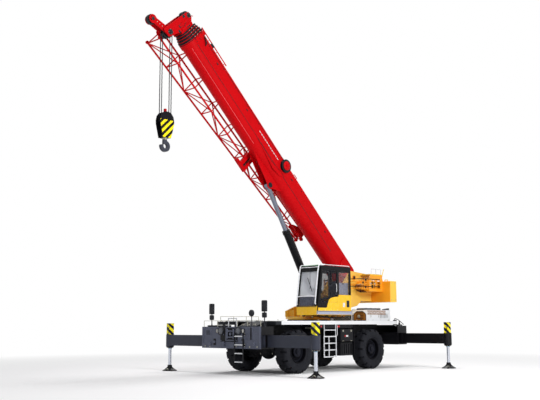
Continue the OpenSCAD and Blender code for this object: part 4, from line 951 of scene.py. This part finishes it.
def cab_fittings(s):
    def lean(z):
        """Where the sloping front stands at a height."""
        return 1.07 - 0.22 * (min(z, 3.74) - 2.33) / 1.41

    def front_sheet(off, y0, y1, z0, z1, thick, paint):
        """A sheet that follows the sloping front."""
        low, high = lean(z0) + off, lean(z1) + off
        sheet_cut(s, [(low, y0, z0), (low, y1, z0), (high, y1, z1), (high, y0, z1)], (thick, 0, 0), paint)

    for y in (0.47, 1.36):
        pipe(s, [(lean(2.4), y, 2.4), (lean(2.4) + 0.05, y, 2.42), (lean(3.6) + 0.05, y, 3.6),
                 (0.87, y, 3.83), (0.55, y, 3.84)], 0.022)
        for z in (2.42, 3.0, 3.6):
            turned(s, (lean(z), y, z), (1, 0, 0.15),
                   [(0.025, 0), (0.025, 0.008), (0.012, 0.012), (0.012, 0.05)], 2, 14)
    pipe(s, [(lean(2.68) + 0.05, 0.47, 2.68), (lean(2.68) + 0.06, 0.92, 2.69),
             (lean(2.68) + 0.05, 1.36, 2.68)], 0.02)
    pipe(s, [(lean(3.72) + 0.03, 0.5, 3.74), (lean(3.72) + 0.03, 1.34, 3.74)], 0.013)
    front_sheet(-0.075, 0.5, 1.33, 2.34, 2.66, -0.02, 1)
    front_sheet(0.004, 0.432, 1.398, 3.58, 3.78, 0.012, 5)
    for y, out in ((0.4295, -0.008), (1.4005, 0.006)):
        sheet_cut(s, [(-0.9, y, 3.6), (lean(3.6), y, 3.6), (lean(3.74), y, 3.78), (-0.9, y, 3.78)],
                  (0, out, 0), 5)
        for x0 in (-0.9, -0.2):
            block(s, (x0, y, 2.75), (x0 + 0.12, y + out, 3.61), 5, 0)
    block(s, (-0.9005, 0.44, 3.6), (-0.9085, 1.39, 3.78), 5, 0)
    for y0 in (0.432, 1.3):
        front_sheet(0.002, y0, y0 + 0.098, 2.33, 3.6, 0.008, 5)
    pipe(s, [(lean(3.6) + 0.02, 0.95, 3.68), (lean(3.3) + 0.02, 0.99, 3.3),
             (lean(2.95) + 0.02, 1.03, 2.95)], 0.009, 2)
    pipe(s, [(lean(3.35) + 0.016, 0.86, 3.35), (lean(2.85) + 0.016, 1.14, 2.85)], 0.011, 2)
    turned(s, (lean(3.68), 0.95, 3.69), (1, 0, 0.15), cap(0.035, 0.02, 0.02, 0.03), 2, 16)
    for y in (0.45, 1.38):
        handle(s, (-0.85, y, 3.8), (0.7, y, 3.8), (0, 0, 0.035), 0.012)
    sheet_cut(s, [(0.8, 0.5, 3.79), (0.8, 1.15, 3.79), (0.45, 1.15, 3.845), (0.45, 0.5, 3.845)],
              (0, 0, 0.02), 6)
    for x in (-0.1, 0.2, 0.5):
        pipe(s, [(x, 0.56, 3.81), (x, 1.28, 3.81)], 0.01)
    block(s, (-0.84, 0.5, 3.8), (-0.3, 1.3, 3.812), 2, 0.008)
    block(s, (lean(2.33) - 0.004, 0.435, 2.305), (lean(2.33) + 0.012, 1.395, 2.325), 2, 0.004)
    block(s, (-0.8, 1.4, 2.3), (-0.64, 1.404, 2.55), 2, 0.01)
    for k in range(6):
        block(s, (-0.79, 1.402, 2.315 + k * 0.038), (-0.65, 1.4065, 2.333 + k * 0.038), 2, 0.002)
    block(s, (-0.54, 1.4, 2.31), (-0.42, 1.404, 2.46), 4, 0.004)
    block(s, (-0.82, 1.345, 2.76), (-0.2, 1.333, 3.2), 3, 0)
    for k in range(9):
        block(s, (-0.8, 1.345, 2.8 + k * 0.042), (-0.22, 1.351, 2.815 + k * 0.042), 3, 0.002)
    block(s, (-0.56, 1.35, 3.15), (-0.44, 1.356, 3.185), 2, 0.004)
    block(s, (-0.902, 0.5, 2.1), (-0.9, 1.33, 2.7), 2, 0.001)
    for k in range(10):
        block(s, (-0.912, 0.55, 2.15 + k * 0.052), (-0.901, 1.28, 2.175 + k * 0.052), 2, 0.003)
    pipe(s, [(-0.86, 1.452, 2.13), (1.05, 1.452, 2.13)], 0.007, 2)
    for x in (-0.4, 0.3, 0.9):
        turned(s, (x, 0.63, 2.0), DOWN, [(0.06, -0.01), (0.06, 0.02), (0.045, 0.03), (0.045, 0.045)], 2, 18)


roof_green = enamel("roof_light_green", screen(84, 168, 104), 0.2, drift=0.06)
louvre_blue = enamel("louvre_blue_grey", screen(140, 152, 176), 0.45, drift=0.06)
piece("cab_fittings", "superstructure", cab_fittings, grab_silver, dash_grey, moulded_black, louvre_blue,
      lens_white, cab_black, roof_green)


# Door: a sliding panel in a black frame, with a yellow skin swept up behind the step.
# Pressed skin bonded to the frame, a pull handle, and rubber round the pane.
def door_fittings(s):
    sweep = [(-0.115, 2.16), (1.045, 2.16), (1.045, 2.27), (0.6, 2.265), (0.55, 2.3), (0.5, 2.45),
             (0.45, 2.55), (0.36, 2.61), (0.22, 2.65), (0.05, 2.67), (-0.115, 2.69)]
    sheet_cut(s, [(x, 1.45, z) for x, z in sweep], (0, 0.008, 0))
    pipe(s, [(0.47, 1.459, 2.2), (0.43, 1.459, 2.5), (0.34, 1.459, 2.58),
             (-0.1, 1.459, 2.645)], 0.004, 0, 6)
    pipe(s, [(0.02, 1.45, 2.85), (0.02, 1.475, 2.88), (0.02, 1.475, 3.12), (0.02, 1.45, 3.15)], 0.011, 2)
    block(s, (-0.02, 1.45, 2.74), (0.1, 1.458, 2.8), 1)
    pipe(s, [(-0.03, 1.451, 2.47), (0.91, 1.451, 2.47), (0.77, 1.451, 3.63), (-0.03, 1.451, 3.63),
             (-0.03, 1.451, 2.47)], 0.008, 1, 8)
    pipe(s, [(0.45, 1.44, 2.47), (0.45, 1.44, 3.63)], 0.012, 1)
    for x in (0.05, 0.9):
        turned(s, (x, 1.43, 2.157), DOWN, [(0.02, -0.01), (0.02, 0), (0.012, 0)], 2, 14)
    bolts(s, [(x, 1.458, 2.19) for x in (-0.05, 0.3, 0.65, 1.0)], LEFT, 0.008, 0.005, 2)


door_yellow = enamel("door_yellow_enamel", screen(250, 200, 38), 0.25, drift=0.04, coat=0.3)
piece("door_skin", "cab_door", door_fittings, door_yellow, moulded_black, grab_silver)

# Operator's seat: foam cushions in grey cloth over a shell on a bellows pedestal.
# The cushions are stuffed and piped; levers stand on the side consoles.
seat_cloth = enamel("seat_cloth", screen(104, 112, 134), 0.85, drift=0.15, peel=0.004, grain=400)
wear(seat_cloth, "operator_seat")
console_black = enamel("console_black", screen(40, 42, 48), 0.55, drift=0.1, peel=0.001)
wear(console_black, "cab_controls")


def cushion(name, centre, size, tilt):
    """A stuffed block: a fine grid box whose faces swell towards their middles, with a piped waist."""
    shape = bmesh.new()
    bmesh.ops.create_cube(shape, size=2)
    bmesh.ops.subdivide_edges(shape, edges=shape.edges[:], cuts=11, use_grid_fill=True)
    for v in shape.verts:
        p = v.co
        crown = [1 - abs(c) ** 2.6 for c in p]
        round_off = 1 - 0.16 * (abs(p.x * p.y) ** 3 + abs(p.y * p.z) ** 3 + abs(p.x * p.z) ** 3) / 2
        waist = 0.05 * math.exp(-(p.z * 5) ** 2) * (1 - crown[0] * crown[1])
        groove = 0.1 * math.exp(-((abs(p.y) - 0.55) * 12) ** 2) if p.z > 0.6 else 0
        lift = 0.32 * crown[0] * crown[1] if p.z > 0 else 0.05 * crown[0] * crown[1]
        x, y = p.x * (round_off + waist + 0.04 * crown[1]), p.y * (round_off + waist + 0.04 * crown[0])
        v.co = Vector((x, y, p.z * (round_off - 0.12 + lift) - groove))
    scale = Matrix.Diagonal((*[v / 2.1 for v in size], 1))
    put = slew_frame @ Matrix.Translation(centre) @ Matrix.Rotation(tilt, 4, "Y") @ scale
    bmesh.ops.transform(shape, matrix=put, verts=shape.verts)
    for face in shape.faces:
        face.smooth = True
    mesh = bpy.data.meshes.new(name)
    shape.to_mesh(mesh)
    shape.free()
    mesh.materials.append(seat_cloth)
    made = bpy.data.objects.new(name, mesh)
    bpy.context.scene.collection.objects.link(made)
    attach(made, "superstructure")
    return made


seat_pad = cushion("seat_cushion", (-0.185, 0.97, 2.46), (0.55, 0.48, 0.13), 0.0)
cushion("back_cushion", (-0.44, 0.97, 2.83), (0.62, 0.46, 0.13), -1.43)
cushion("head_cushion", (-0.5, 0.97, 3.2), (0.16, 0.28, 0.09), -1.43)
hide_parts("operator_seat")


def seat_base(s):
    for k in range(6):
        z = 2.09 + k * 0.045
        turned(s, (-0.17, 0.97, z), UP, [(0.14, 0), (0.165, 0.022), (0.14, 0.045)])
    block(s, (-0.36, 0.79, 2.07), (0.02, 1.15, 2.095), 0, 0.01)
    block(s, (-0.42, 0.76, 2.36), (0.06, 1.18, 2.39), 0, 0.012)
    for y in (0.72, 1.2):
        block(s, (-0.4, y - 0.03, 2.62), (-0.08, y + 0.03, 2.67), 1, 0.02)
        pipe(s, [(-0.4, y, 2.42), (-0.42, y, 2.64)], 0.014)
    for y in (0.55, 1.285):
        turned(s, (0.18, y, 2.79), UP,
               [(0.018, 0), (0.03, 0.01), (0.034, 0.035), (0.022, 0.06), (0, 0.065)], 0, 18)
        block(s, (0.04, y - 0.035, 2.64), (0.22, y + 0.035, 2.665), 1, 0.008)
    block(s, (0.63, 0.86, 2.72), (0.68, 1.08, 2.86), 0, 0.015)
    pipe(s, [(0.42, 0.6, 2.6), (0.5, 0.55, 3.1), (0.6, 0.55, 3.3)], 0.01)
    block(s, (0.58, 0.47, 3.15), (0.62, 0.63, 3.4), 0, 0.01)


piece("seat_base", "superstructure", seat_base, console_black, seat_cloth)

# Boom: five rounded box sections rolled from high-strength plate, in gloss red.
# Wear pads and bolted collars guide each section; cables run in a rail on the side.
# Places are (u, y, w): u runs along the boom from its foot pin and w stands square to it.
boom_rise = math.radians(44)
boom_frame = slew_frame @ Matrix.Translation((foot_x, 0, foot_z)) @ Matrix.Rotation(-boom_rise, 4, "Y")
boom_red = enamel("boom_red_enamel", screen(192, 5, 13), 0.42, drift=0.03, shine=0.06)
wear(boom_red, "boom_base", "boom_head", "jib")
stage_red = enamel("stage_red_enamel", screen(192, 5, 13), 0.42, drift=0.03, shine=0.06)
tree = stage_red.node_tree
reach = reach_along(tree, (math.cos(boom_rise), 0, math.sin(boom_rise)))
foot = (slew_x + foot_x) * math.cos(boom_rise) + foot_z * math.sin(boom_rise)
collars_from, collars_to = foot + 11.4, foot + 11.79
collar = sum_up(tree, "MULTIPLY", sum_up(tree, "GREATER_THAN", reach, collars_from),
                sum_up(tree, "LESS_THAN", reach, collars_to))
over(stage_red, collar, screen(40, 32, 39))
wear(stage_red, "boom_section_2", "boom_section_3", "boom_section_4", "boom_section_5")
collar_dark = enamel("collar_dark_enamel", screen(26, 12, 18), 0.45, drift=0.1)
conduit_pale = enamel("conduit_pale", screen(206, 204, 206), 0.5, drift=0.08)
seam_dark = enamel("seam_dark", screen(84, 4, 12), 0.5, drift=0.1)


def boom_fittings(s):
    brace = ((5.3, -0.16), (5.53, -0.13), (6.1, -0.24), (7.15, -0.2), (6.5, -0.3),
             (5.9, -0.38), (5.5, -0.3))
    lug = ((4.9, -0.48), (6.6, -0.48), (6.9, -0.5), (6.4, -0.66), (5.62, -0.84),
           (5.5, -0.88), (5.38, -0.84))
    for side in (-1, 1):
        out = (0, side, 0)
        block(s, (1.6, side * 0.318, -0.19), (11.2, side * 0.325, -0.168), 3, 0.002)
        for k in range(12):
            u = 1.9 + k * 0.8
            turned(s, (u, side * 0.32, 0.235), out, cap(0.02, 0.006, 0.012, 0.01), 3, 14)
        # A thin pale red line along the bend of the underside is a painted highlight.
        pipe(s, [(7.1, side * 0.226, -0.4085), (11.2, side * 0.226, -0.4085)], 0.007, 5, 6)
        turned(s, (0, side * 0.365, 0), out, [(0.13, 0), (0.13, 0.003), (0.1, 0.0045)], 0, 32)
        sheet_cut(s, [(u, side * 0.32, w) for u, w in brace], (0, side * 0.014, 0))
        pipe(s, [(5.3, side * 0.335, -0.16), (5.53, side * 0.335, -0.13), (6.1, side * 0.335, -0.24),
                 (7.15, side * 0.332, -0.2)], 0.008, 3, 6)
        bolts(s, [(u, side * 0.35, w) for u in (11.27, 11.38) for w in (-0.15, 0.05, 0.25)], out,
              0.018, 0.012, 3)
        for u in (2.35, 4.95, 8.2, 10.2):
            block(s, (u - 0.05, side * 0.32, 0.1), (u + 0.05, side * 0.33, 0.14), 4, 0.004)
    for k in range(11):
        u = 5.95 + k * 0.125
        block(s, (u, 0.32, 0.068), (u + 0.09, 0.327, 0.1), 2, 0.002)
    turned(s, (5.55, 0.32, 0.2), LEFT,
           [(0.23, 0), (0.25, 0.006), (0.25, 0.02), (0.22, 0.026), (0.22, 0.07), (0.25, 0.076),
            (0.25, 0.088), (0.15, 0.092)], 4, 44)
    turned(s, (5.55, 0.405, 0.2), LEFT,
           [(0.17, 0), (0.17, 0.03), (0.15, 0.045), (0.06, 0.055), (0.06, 0.075), (0, 0.08)], 0, 36)
    reel_ring = around((5.55, 0.45, 0.2), "XZ", 0.12, (0.3, 1.35, 2.4, 3.44, 4.49, 5.54))
    bolts(s, reel_ring, LEFT, 0.012, 0.01, 3)
    pipe(s, [(5.72, 0.37, 0.3), (6.4, 0.33, 0.27), (11.3, 0.33, 0.25)], 0.006, 4, 6)
    pipe(s, [(4.8, 0.25, 0.338), (4.8, 0.3, 0.4), (5.0, 0.3, 0.4), (5.0, 0.25, 0.338)], 0.014)
    for u in (10.0, 10.5, 11.0, 11.45):
        pipe(s, [(u, 0.28, 0.338), (u, 0.28, 0.46)], 0.012)
    pipe(s, [(9.9, 0.28, 0.46), (11.5, 0.28, 0.46)], 0.02)
    block(s, (10.7, 0.24, 0.34), (10.86, 0.33, 0.44), 4, 0.01)
    pipe(s, [(10.95, 0.322, 0.1), (11.02, 0.37, 0.16), (11.16, 0.37, 0.25), (11.2, 0.322, 0.3)], 0.022, 4)
    for y in (-0.2, 0.0, 0.2):
        pipe(s, [(0.6, y, 0.338), (11.2, y, 0.338)], 0.005, 3, 6)
    block(s, (0.5, -0.22, 0.337), (1.1, 0.22, 0.352), 4)
    block(s, (10.4, -0.16, 0.338), (10.75, 0.16, 0.36), 0, 0.008)
    for u in (1.5, 3.0, 4.5, 6.0, 7.5, 9.0):
        block(s, (u - 0.05, -0.06, 0.338), (u + 0.05, 0.06, 0.37), 4)
    for side in (-1, 1):
        y = side * 0.125
        sheet_cut(s, [(u, y, w) for u, w in lug], (0, side * 0.012, 0))
        turned(s, (5.45, y, -0.759), (0, side, 0),
               [(0.1, 0.01), (0.1, 0.022), (0.07, 0.026), (0, 0.026)], 4)


# Pale red for a painted highlight along the boom's bend.
edge_highlight_pale = enamel("painted_highlight_red", screen(228, 96, 100), 0.4, drift=0.1)
piece("boom_fittings", "boom", boom_fittings, boom_red, zinc, conduit_pale, seam_dark, satin_black,
      edge_highlight_pale, spot=boom_frame)


def collar_rings(s, k):
    end, inset = 11.41 + 0.09 * k, 0.024 * k - 0.048
    wide, top = 0.32 - inset, 0.338 - inset
    middle = wide + inset - 0.502
    bowl = [(wide * math.cos(t), middle - wide * math.sin(t))
            for t in [math.pi * n / 16 for n in range(1, 16)]]
    path = [(wide, top), (wide, middle)] + bowl + [(-wide, middle), (-wide, top), (-wide, top), (wide, top)]
    for u, paint in ((end - 0.004, 1), (end - 0.024, 1), (end - 0.062, 0)):
        pipe(s, [(u, y, w) for y, w in path], 0.011, paint, 6)
    bolts(s, [(end - 0.04, y, w) for y in (-wide, wide) for w in (-0.1, 0.06, 0.22)], LEFT, 0.013, 0.008, 2)
    bolts(s, [(end - 0.04, y, top) for y in (-0.18, 0, 0.18)], UP, 0.013, 0.008, 2)


for k, body in ((1, "boom_stage_2"), (2, "boom_stage_3"), (3, "boom_stage_4"), (4, "boom_tip")):
    piece("collar_rings_%d" % (k + 1), body, lambda s: collar_rings(s, k), boom_red, collar_dark, zinc,
          spot=boom_frame)


# Stowed jib: a lattice of welded tube pinned along the boom's right side.
# Pin eyes and a small sheave sit at its ends, all in the boom's red.
def jib_fittings(s):
    for y in (-0.505, -0.782):
        for w in (0.12, -0.395):
            turned(s, (2.5, y - 0.04, w), LEFT, [(0.03, 0), (0.065, 0), (0.065, 0.08), (0.03, 0.08)], 0, 24)
            turned(s, (2.5, y - 0.05, w), LEFT, rod(0.028, 0.1), 1, 18)
    for y in (-0.56, -0.72):
        sheet_cut(s, [(u, y, w)
                      for u, w in ((2.52, -0.36), (2.52, 0.06), (2.7, 0.02), (3.2, -0.3), (3.2, -0.4),
                                   (2.7, -0.42))], (0, 0.016, 0))
    turned(s, (2.72, -0.68, -0.18), LEFT,
           [(0.03, 0), (0.13, 0), (0.11, 0.03), (0.11, 0.05), (0.13, 0.08), (0.03, 0.08)], 1, 32)
    for y in (-0.505, -1.192):
        for w in (0.12, -0.722):
            turned(s, (12.05, y - 0.03, w), LEFT,
                   [(0.02, 0), (0.055, 0), (0.055, 0.06), (0.02, 0.06)], 0, 24)
    for u0, u1 in ((6.38, 6.5), (6.6, 6.74)):
        sheet_cut(s, [(u0, y, w)
                      for y, w in ((-0.33, -0.3), (-0.49, -0.34), (-0.49, -0.94), (-0.36, -0.94))],
                  (u1 - u0, 0, 0.02))
    block(s, (6.36, -0.36, -0.9), (6.92, -0.49, -1.0), 0, 0)
    pipe(s, [(6.55, -0.42, -0.4), (6.55, -0.42, -0.94)], 0.03, 1, 14)
    for u in (4.3, 8.6):
        sheet_cut(s, [(u + d, -0.335, w) for d, w in ((-0.2, 0.02), (0.2, 0.02), (0.1, 0.2), (-0.1, 0.2))],
                  (0, -0.012, 0))
        turned(s, (u, -0.52, 0.12), RIGHT, cap(0.06, 0.03, 0.03, 0.04), 1, 20)
        bolts(s, [(u + d, -0.347, w) for d in (-0.12, 0.12) for w in (0.06, 0.15)], RIGHT, 0.014, 0.012, 2)


piece("jib_fittings", "boom", jib_fittings, boom_red, satin_black, zinc, spot=boom_frame)

# Boom head: twin plates holding the main, top and nose sheaves on their pins.
# Sheaves are turned steel with a rope groove; keeper plates lock the pins.
sheave_black = enamel("sheave_black", screen(28, 29, 33), 0.45)
wear(sheave_black, "head_sheaves")


def head_fittings(s):
    head, w_low, w_top = 12.11, -0.807, 0.298
    # The small dark plates on the head's sides stand in for cut-outs: painted shade seen through them.
    plates = ((11.82, 11.93, -0.06, 0.1), (11.98, 12.08, -0.36, -0.2), (11.86, 11.96, -0.5, -0.42),
              (12.15, 12.24, 0.02, 0.13))
    groove = [(0.1706, -0.035), (0.176, -0.035), (0.176, -0.028), (0.171, -0.012), (0.171, 0.012),
              (0.176, 0.028), (0.176, 0.035), (0.1706, 0.035)]
    for side in (-1, 1):
        out = (0, side, 0)
        for w, r in ((w_low, 0.1), (w_top, 0.09)):
            pin = [(r, 0), (r, 0.012), (r * 0.7, 0.02), (r * 0.6, 0.02), (r * 0.6, 0.04), (0, 0.042)]
            turned(s, (head, side * 0.224, w), out, pin, 1)
            keeper = around((head, side * 0.236, w), "XZ", r * 0.82, (0.6, 2.2, 3.7, 5.3))
            bolts(s, keeper, out, 0.009, 0.009, 2)
        turned(s, (12.795, side * 0.126, -1.04), out, cap(0.06, 0.01, 0.04, 0.016), 1, 24)
        bolts(s, [(12.3 + 0.11 * k, side * 0.126, -0.86 - 0.035 * k) for k in range(4)], out,
              0.012, 0.01, 2)
        # Dark plates for the cut-outs: painted shade.
        for u0, u1, w0, w1 in plates:
            block(s, (u0, side * 0.2245, w0), (u1, side * 0.231, w1), 1, 0.003)
        pipe(s, [(11.85, side * 0.23, -0.35), (12.0, side * 0.23, 0.0),
                 (12.0, side * 0.23, 0.2)], 0.009, 1, 8)
        turned(s, (head, side * 0.055, w_low), LEFT, groove, 1, 44)
    pipe(s, [(11.98, -0.2, 0.47), (12.03, -0.1, 0.475), (12.03, 0.1, 0.475), (11.98, 0.2, 0.47)], 0.011)
    block(s, (11.9, -0.1, -0.3), (11.96, 0.1, -0.1), 0, 0.01)


piece("head_fittings", "boom_tip", head_fittings, boom_red, sheave_black, zinc, spot=boom_frame)

# Lift cylinder: honed black barrel and a hard-chromed rod that raises the boom.
# A gland nut closes the barrel; steel pipes feed it from the foot.
barrel_black = enamel("barrel_black_enamel", screen(9, 9, 13), 0.35, shine=0.15)
wear(barrel_black, "lift_barrel")
rod_chrome = enamel("rod_chrome", screen(122, 127, 140), 0.2, drift=0.05, peel=0.0001, metal=0.9)
wear(rod_chrome, "lift_rod")
lift_frame = slew_frame @ Matrix.Translation((-0.573, 0, 2.25)) @ Matrix.Rotation(-1.0319, 4, "Y")


def barrel_fittings(s):
    turned(s, (3.25, 0, 0), FORE, [(0.1515, 0.0), (0.156, 0.01), (0.156, 0.04), (0.1515, 0.05)], 0, 40)
    turned(s, (3.38, 0, 0), FORE, [(0.13, -0.002), (0.125, 0.012), (0.098, 0.018), (0.092, 0.018)], 1, 40)
    bolts(s, around((3.38, 0, 0), "YZ", 0.115, evenly(12)), FORE, 0.011, 0.012, 2)
    for y in (-0.04, 0.04):
        pipe(s, [(0.3, y, 0.15), (0.34, y, 0.166), (3.1, y, 0.166), (3.16, y, 0.14)], 0.013)
    for u in (0.7, 1.4, 2.1, 2.8):
        block(s, (u - 0.02, -0.07, 0.135), (u + 0.02, 0.07, 0.185), 2, 0.004)
    turned(s, (0.32, 0, 0), FORE, [(0.138, 0), (0.15, 0.01), (0.15, 0.07), (0.138, 0.08)], 0, 40)
    pipe(s, [(0.3, 0.04, 0.15), (0.2, 0.1, 0.22), (-0.1, 0.16, 0.2), (-0.35, 0.16, 0.05)], 0.014, 3)


piece("barrel_fittings", "lift_barrel", barrel_fittings, barrel_black, satin_black, zinc, hose_black,
      spot=lift_frame)

# Rope falls: four parts of laid wire rope between the head and the hook block.
# Strands are twisted round a core; the falls shorten as the hook comes up.
hang_x, block_z, head_z = 6.9418, 8.2818, 11.3418


def falls(s):
    rows = 150
    for x in (hang_x - 0.198, hang_x + 0.198):
        for y in (-0.055, 0.055):
            rings = []
            for k in range(rows + 1):
                z = block_z + (head_z - block_z) * k / rows
                edge = [(t, 0.0145 * (1 + 0.14 * math.cos(5 * t - z * 40))) for t in evenly(10)]
                rings.append([s.verts.new((x + r * math.cos(t), y + r * math.sin(t), z)) for t, r in edge])
            skin(s, rings, 0)


ropes = piece("rope_strands", "rope_hang", falls, rope_steel)
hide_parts("rope_falls")
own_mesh(ropes)

# Hook block and hook: plate cheeks round two sheaves, and a forged hook under them.
# The cheeks carry yellow warning stripes; a sprung latch closes the hook's throat.
block_black = enamel("block_black_enamel", screen(14, 14, 20), 0.45, shine=0.1)
tree = block_black.node_tree
band = stripes(tree, (4.0, 0.0, 4.0))
cheek = sum_up(tree, "SUBTRACT", 1.0, near(tree, "Y", 0.0, 0.1285))
striped = sum_up(tree, "MULTIPLY", sum_up(tree, "MULTIPLY", band, cheek), before(tree, "Z", 8.34))
over(block_black, striped, screen(250, 232, 30))
wear(block_black, "hook_block")
hook_steel = enamel("hook_steel", screen(62, 64, 74), 0.36, drift=0.2, metal=0.3)
wear(hook_steel, "hook")


def block_fittings(s):
    x, z = hang_x, block_z
    heads = ((-0.2, 0.1), (0.2, 0.1), (-0.2, -0.1), (0.2, -0.1), (-0.11, -0.46), (0.11, -0.46), (0, 0.29))
    for side in (-1, 1):
        out = (0, side, 0)
        turned(s, (x, side * 0.13, z), out, [(0.1, 0), (0.1, 0.01), (0.07, 0.018), (0.062, 0.018)], 0, 32)
        bolts(s, [(x + dx, side * 0.13, z + dz) for dx, dz in heads], out, 0.016, 0.012)
        for r in (0.152, 0.15):
            turned(s, (x, side * 0.055, z), LEFT,
                   [(r, -0.034), (r + 0.012, -0.034), (r + 0.002, -0.008), (r + 0.002, 0.008),
                    (r + 0.012, 0.034), (r, 0.034)], 2, 40)
    turned(s, (x, 0, z - 0.54), DOWN,
           [(0.09, -0.02), (0.09, 0.02), (0.07, 0.03), (0.06, 0.055), (0.047, 0.06)], 1)
    pipe(s, [(x - 0.1, 0, z - 0.64), (x - 0.03, 0, z - 0.68), (x + 0.09, 0, z - 0.79)], 0.011, 1)
    block(s, (x - 0.1, -0.1, z + 0.3), (x + 0.1, 0.1, z + 0.325), 0, 0.01)
    pipe(s, [(x, 0, z + 0.32), (x, 0, z + 0.36)], 0.014, 3)
    block(s, (x - 0.04, -0.04, z + 0.35), (x + 0.04, 0.04, z + 0.455), 3, 0.012)


piece("block_fittings", "hook_set", block_fittings, block_black, zinc, sheave_black, boom_red)

# Studio: a pale floor that fades to white, soft lamps overhead, and the camera.
# The camera stands where the photo was taken from, as fitted to its tyres, pads and front box.
camera_from_slew = (22.9913, 20.4555, 1.6619)
camera_turn = 0.7724
camera_lift = 0.1543
camera_roll = 0.0044
level_ahead = Vector((-math.cos(camera_turn), -math.sin(camera_turn), 0))
ahead = level_ahead * math.cos(camera_lift) + Vector((0, 0, math.sin(camera_lift)))
level_right = Vector((-math.sin(camera_turn), math.cos(camera_turn), 0))
level_up = level_right.cross(ahead)
right = level_right * math.cos(camera_roll) - level_up * math.sin(camera_roll)
up = level_up * math.cos(camera_roll) + level_right * math.sin(camera_roll)
lens = bpy.data.cameras.new("photo_camera")
lens.sensor_fit = "HORIZONTAL"
lens.sensor_width = 36
lens.lens = 53.562
lens.clip_end = 500
camera = bpy.data.objects.new("photo_camera", lens)
bpy.context.scene.collection.objects.link(camera)
camera_turned = Matrix((right, up, -ahead)).transposed().to_4x4()
camera.matrix_world = slew_frame @ Matrix.Translation(camera_from_slew) @ camera_turned
bpy.context.scene.camera = camera

floor_mesh = bpy.data.meshes.new("floor")
half = 160
floor_mesh.from_pydata([(-half, -half, 0), (half, -half, 0), (half, half, 0), (-half, half, 0)], [],
                       [(0, 1, 2, 3)])
floor = bpy.data.objects.new("floor", floor_mesh)
bpy.context.scene.collection.objects.link(floor)
floor.location.z = -0.002
floor_white, tree, gloss = shader("floor_white")
gloss.inputs["Base Color"].default_value = (0.93, 0.93, 0.94, 1)
gloss.inputs["Roughness"].default_value = 0.9
glow = add(tree, "Emission", Color=(1, 1, 1, 1), Strength=1.0)
place = add(tree, "TexCoord")
far = add(tree, "VectorMath", operation="LENGTH")
fade = add(tree, "MapRange", **{"From Min": 9, "From Max": 22})
mixed = add(tree, "MixShader")
for source, target in ((place.outputs["Object"], far.inputs[0]),
                       (far.outputs["Value"], fade.inputs["Value"]),
                       (fade.outputs["Result"], mixed.inputs["Fac"]),
                       (gloss.outputs["BSDF"], mixed.inputs[1]),
                       (glow.outputs["Emission"], mixed.inputs[2]),
                       (mixed.outputs["Shader"], tree.nodes["Material Output"].inputs["Surface"])):
    tree.links.new(source, target)
floor_mesh.materials.append(floor_white)

world = bpy.data.worlds.new("studio")
bpy.context.scene.world = world
world.use_nodes = True
sky = world.node_tree
backdrop = sky.nodes["Background"]
ray = add(sky, "LightPath").outputs
seen = sum_up(sky, "MAXIMUM", ray["Is Camera Ray"], ray["Is Glossy Ray"])
seen_or_through = sum_up(sky, "MAXIMUM", seen, ray["Is Transmission Ray"])
level = add(sky, "MapRange", **{"To Min": 0.24, "To Max": 1.0})
sky.links.new(seen_or_through, level.inputs["Value"])
sky.links.new(level.outputs["Result"], backdrop.inputs["Strength"])
backdrop.inputs["Color"].default_value = (1, 1, 1, 1)


def lamp(name, place, aim, size, watts):
    """A round soft lamp that points at an aim."""
    light = bpy.data.lights.new(name, "AREA")
    light.shape = "DISK"
    light.size = size
    light.energy = watts
    stand = bpy.data.objects.new(name, light)
    bpy.context.scene.collection.objects.link(stand)
    stand.location = place
    stand.rotation_euler = (Vector(aim) - Vector(place)).to_track_quat("-Z", "Y").to_euler()


middle = slew_frame @ Vector((0, 0, 3))
lamp("key_lamp", slew_frame @ Vector((7, 24, 13)), middle, 9, 4200)
lamp("top_lamp", slew_frame @ Vector((2, 0, 26)), middle, 5, 2900)
lamp("back_lamp", slew_frame @ Vector((-12, -8, 20)), middle, 12, 1500)

bpy.context.scene.view_settings.view_transform = "Standard"
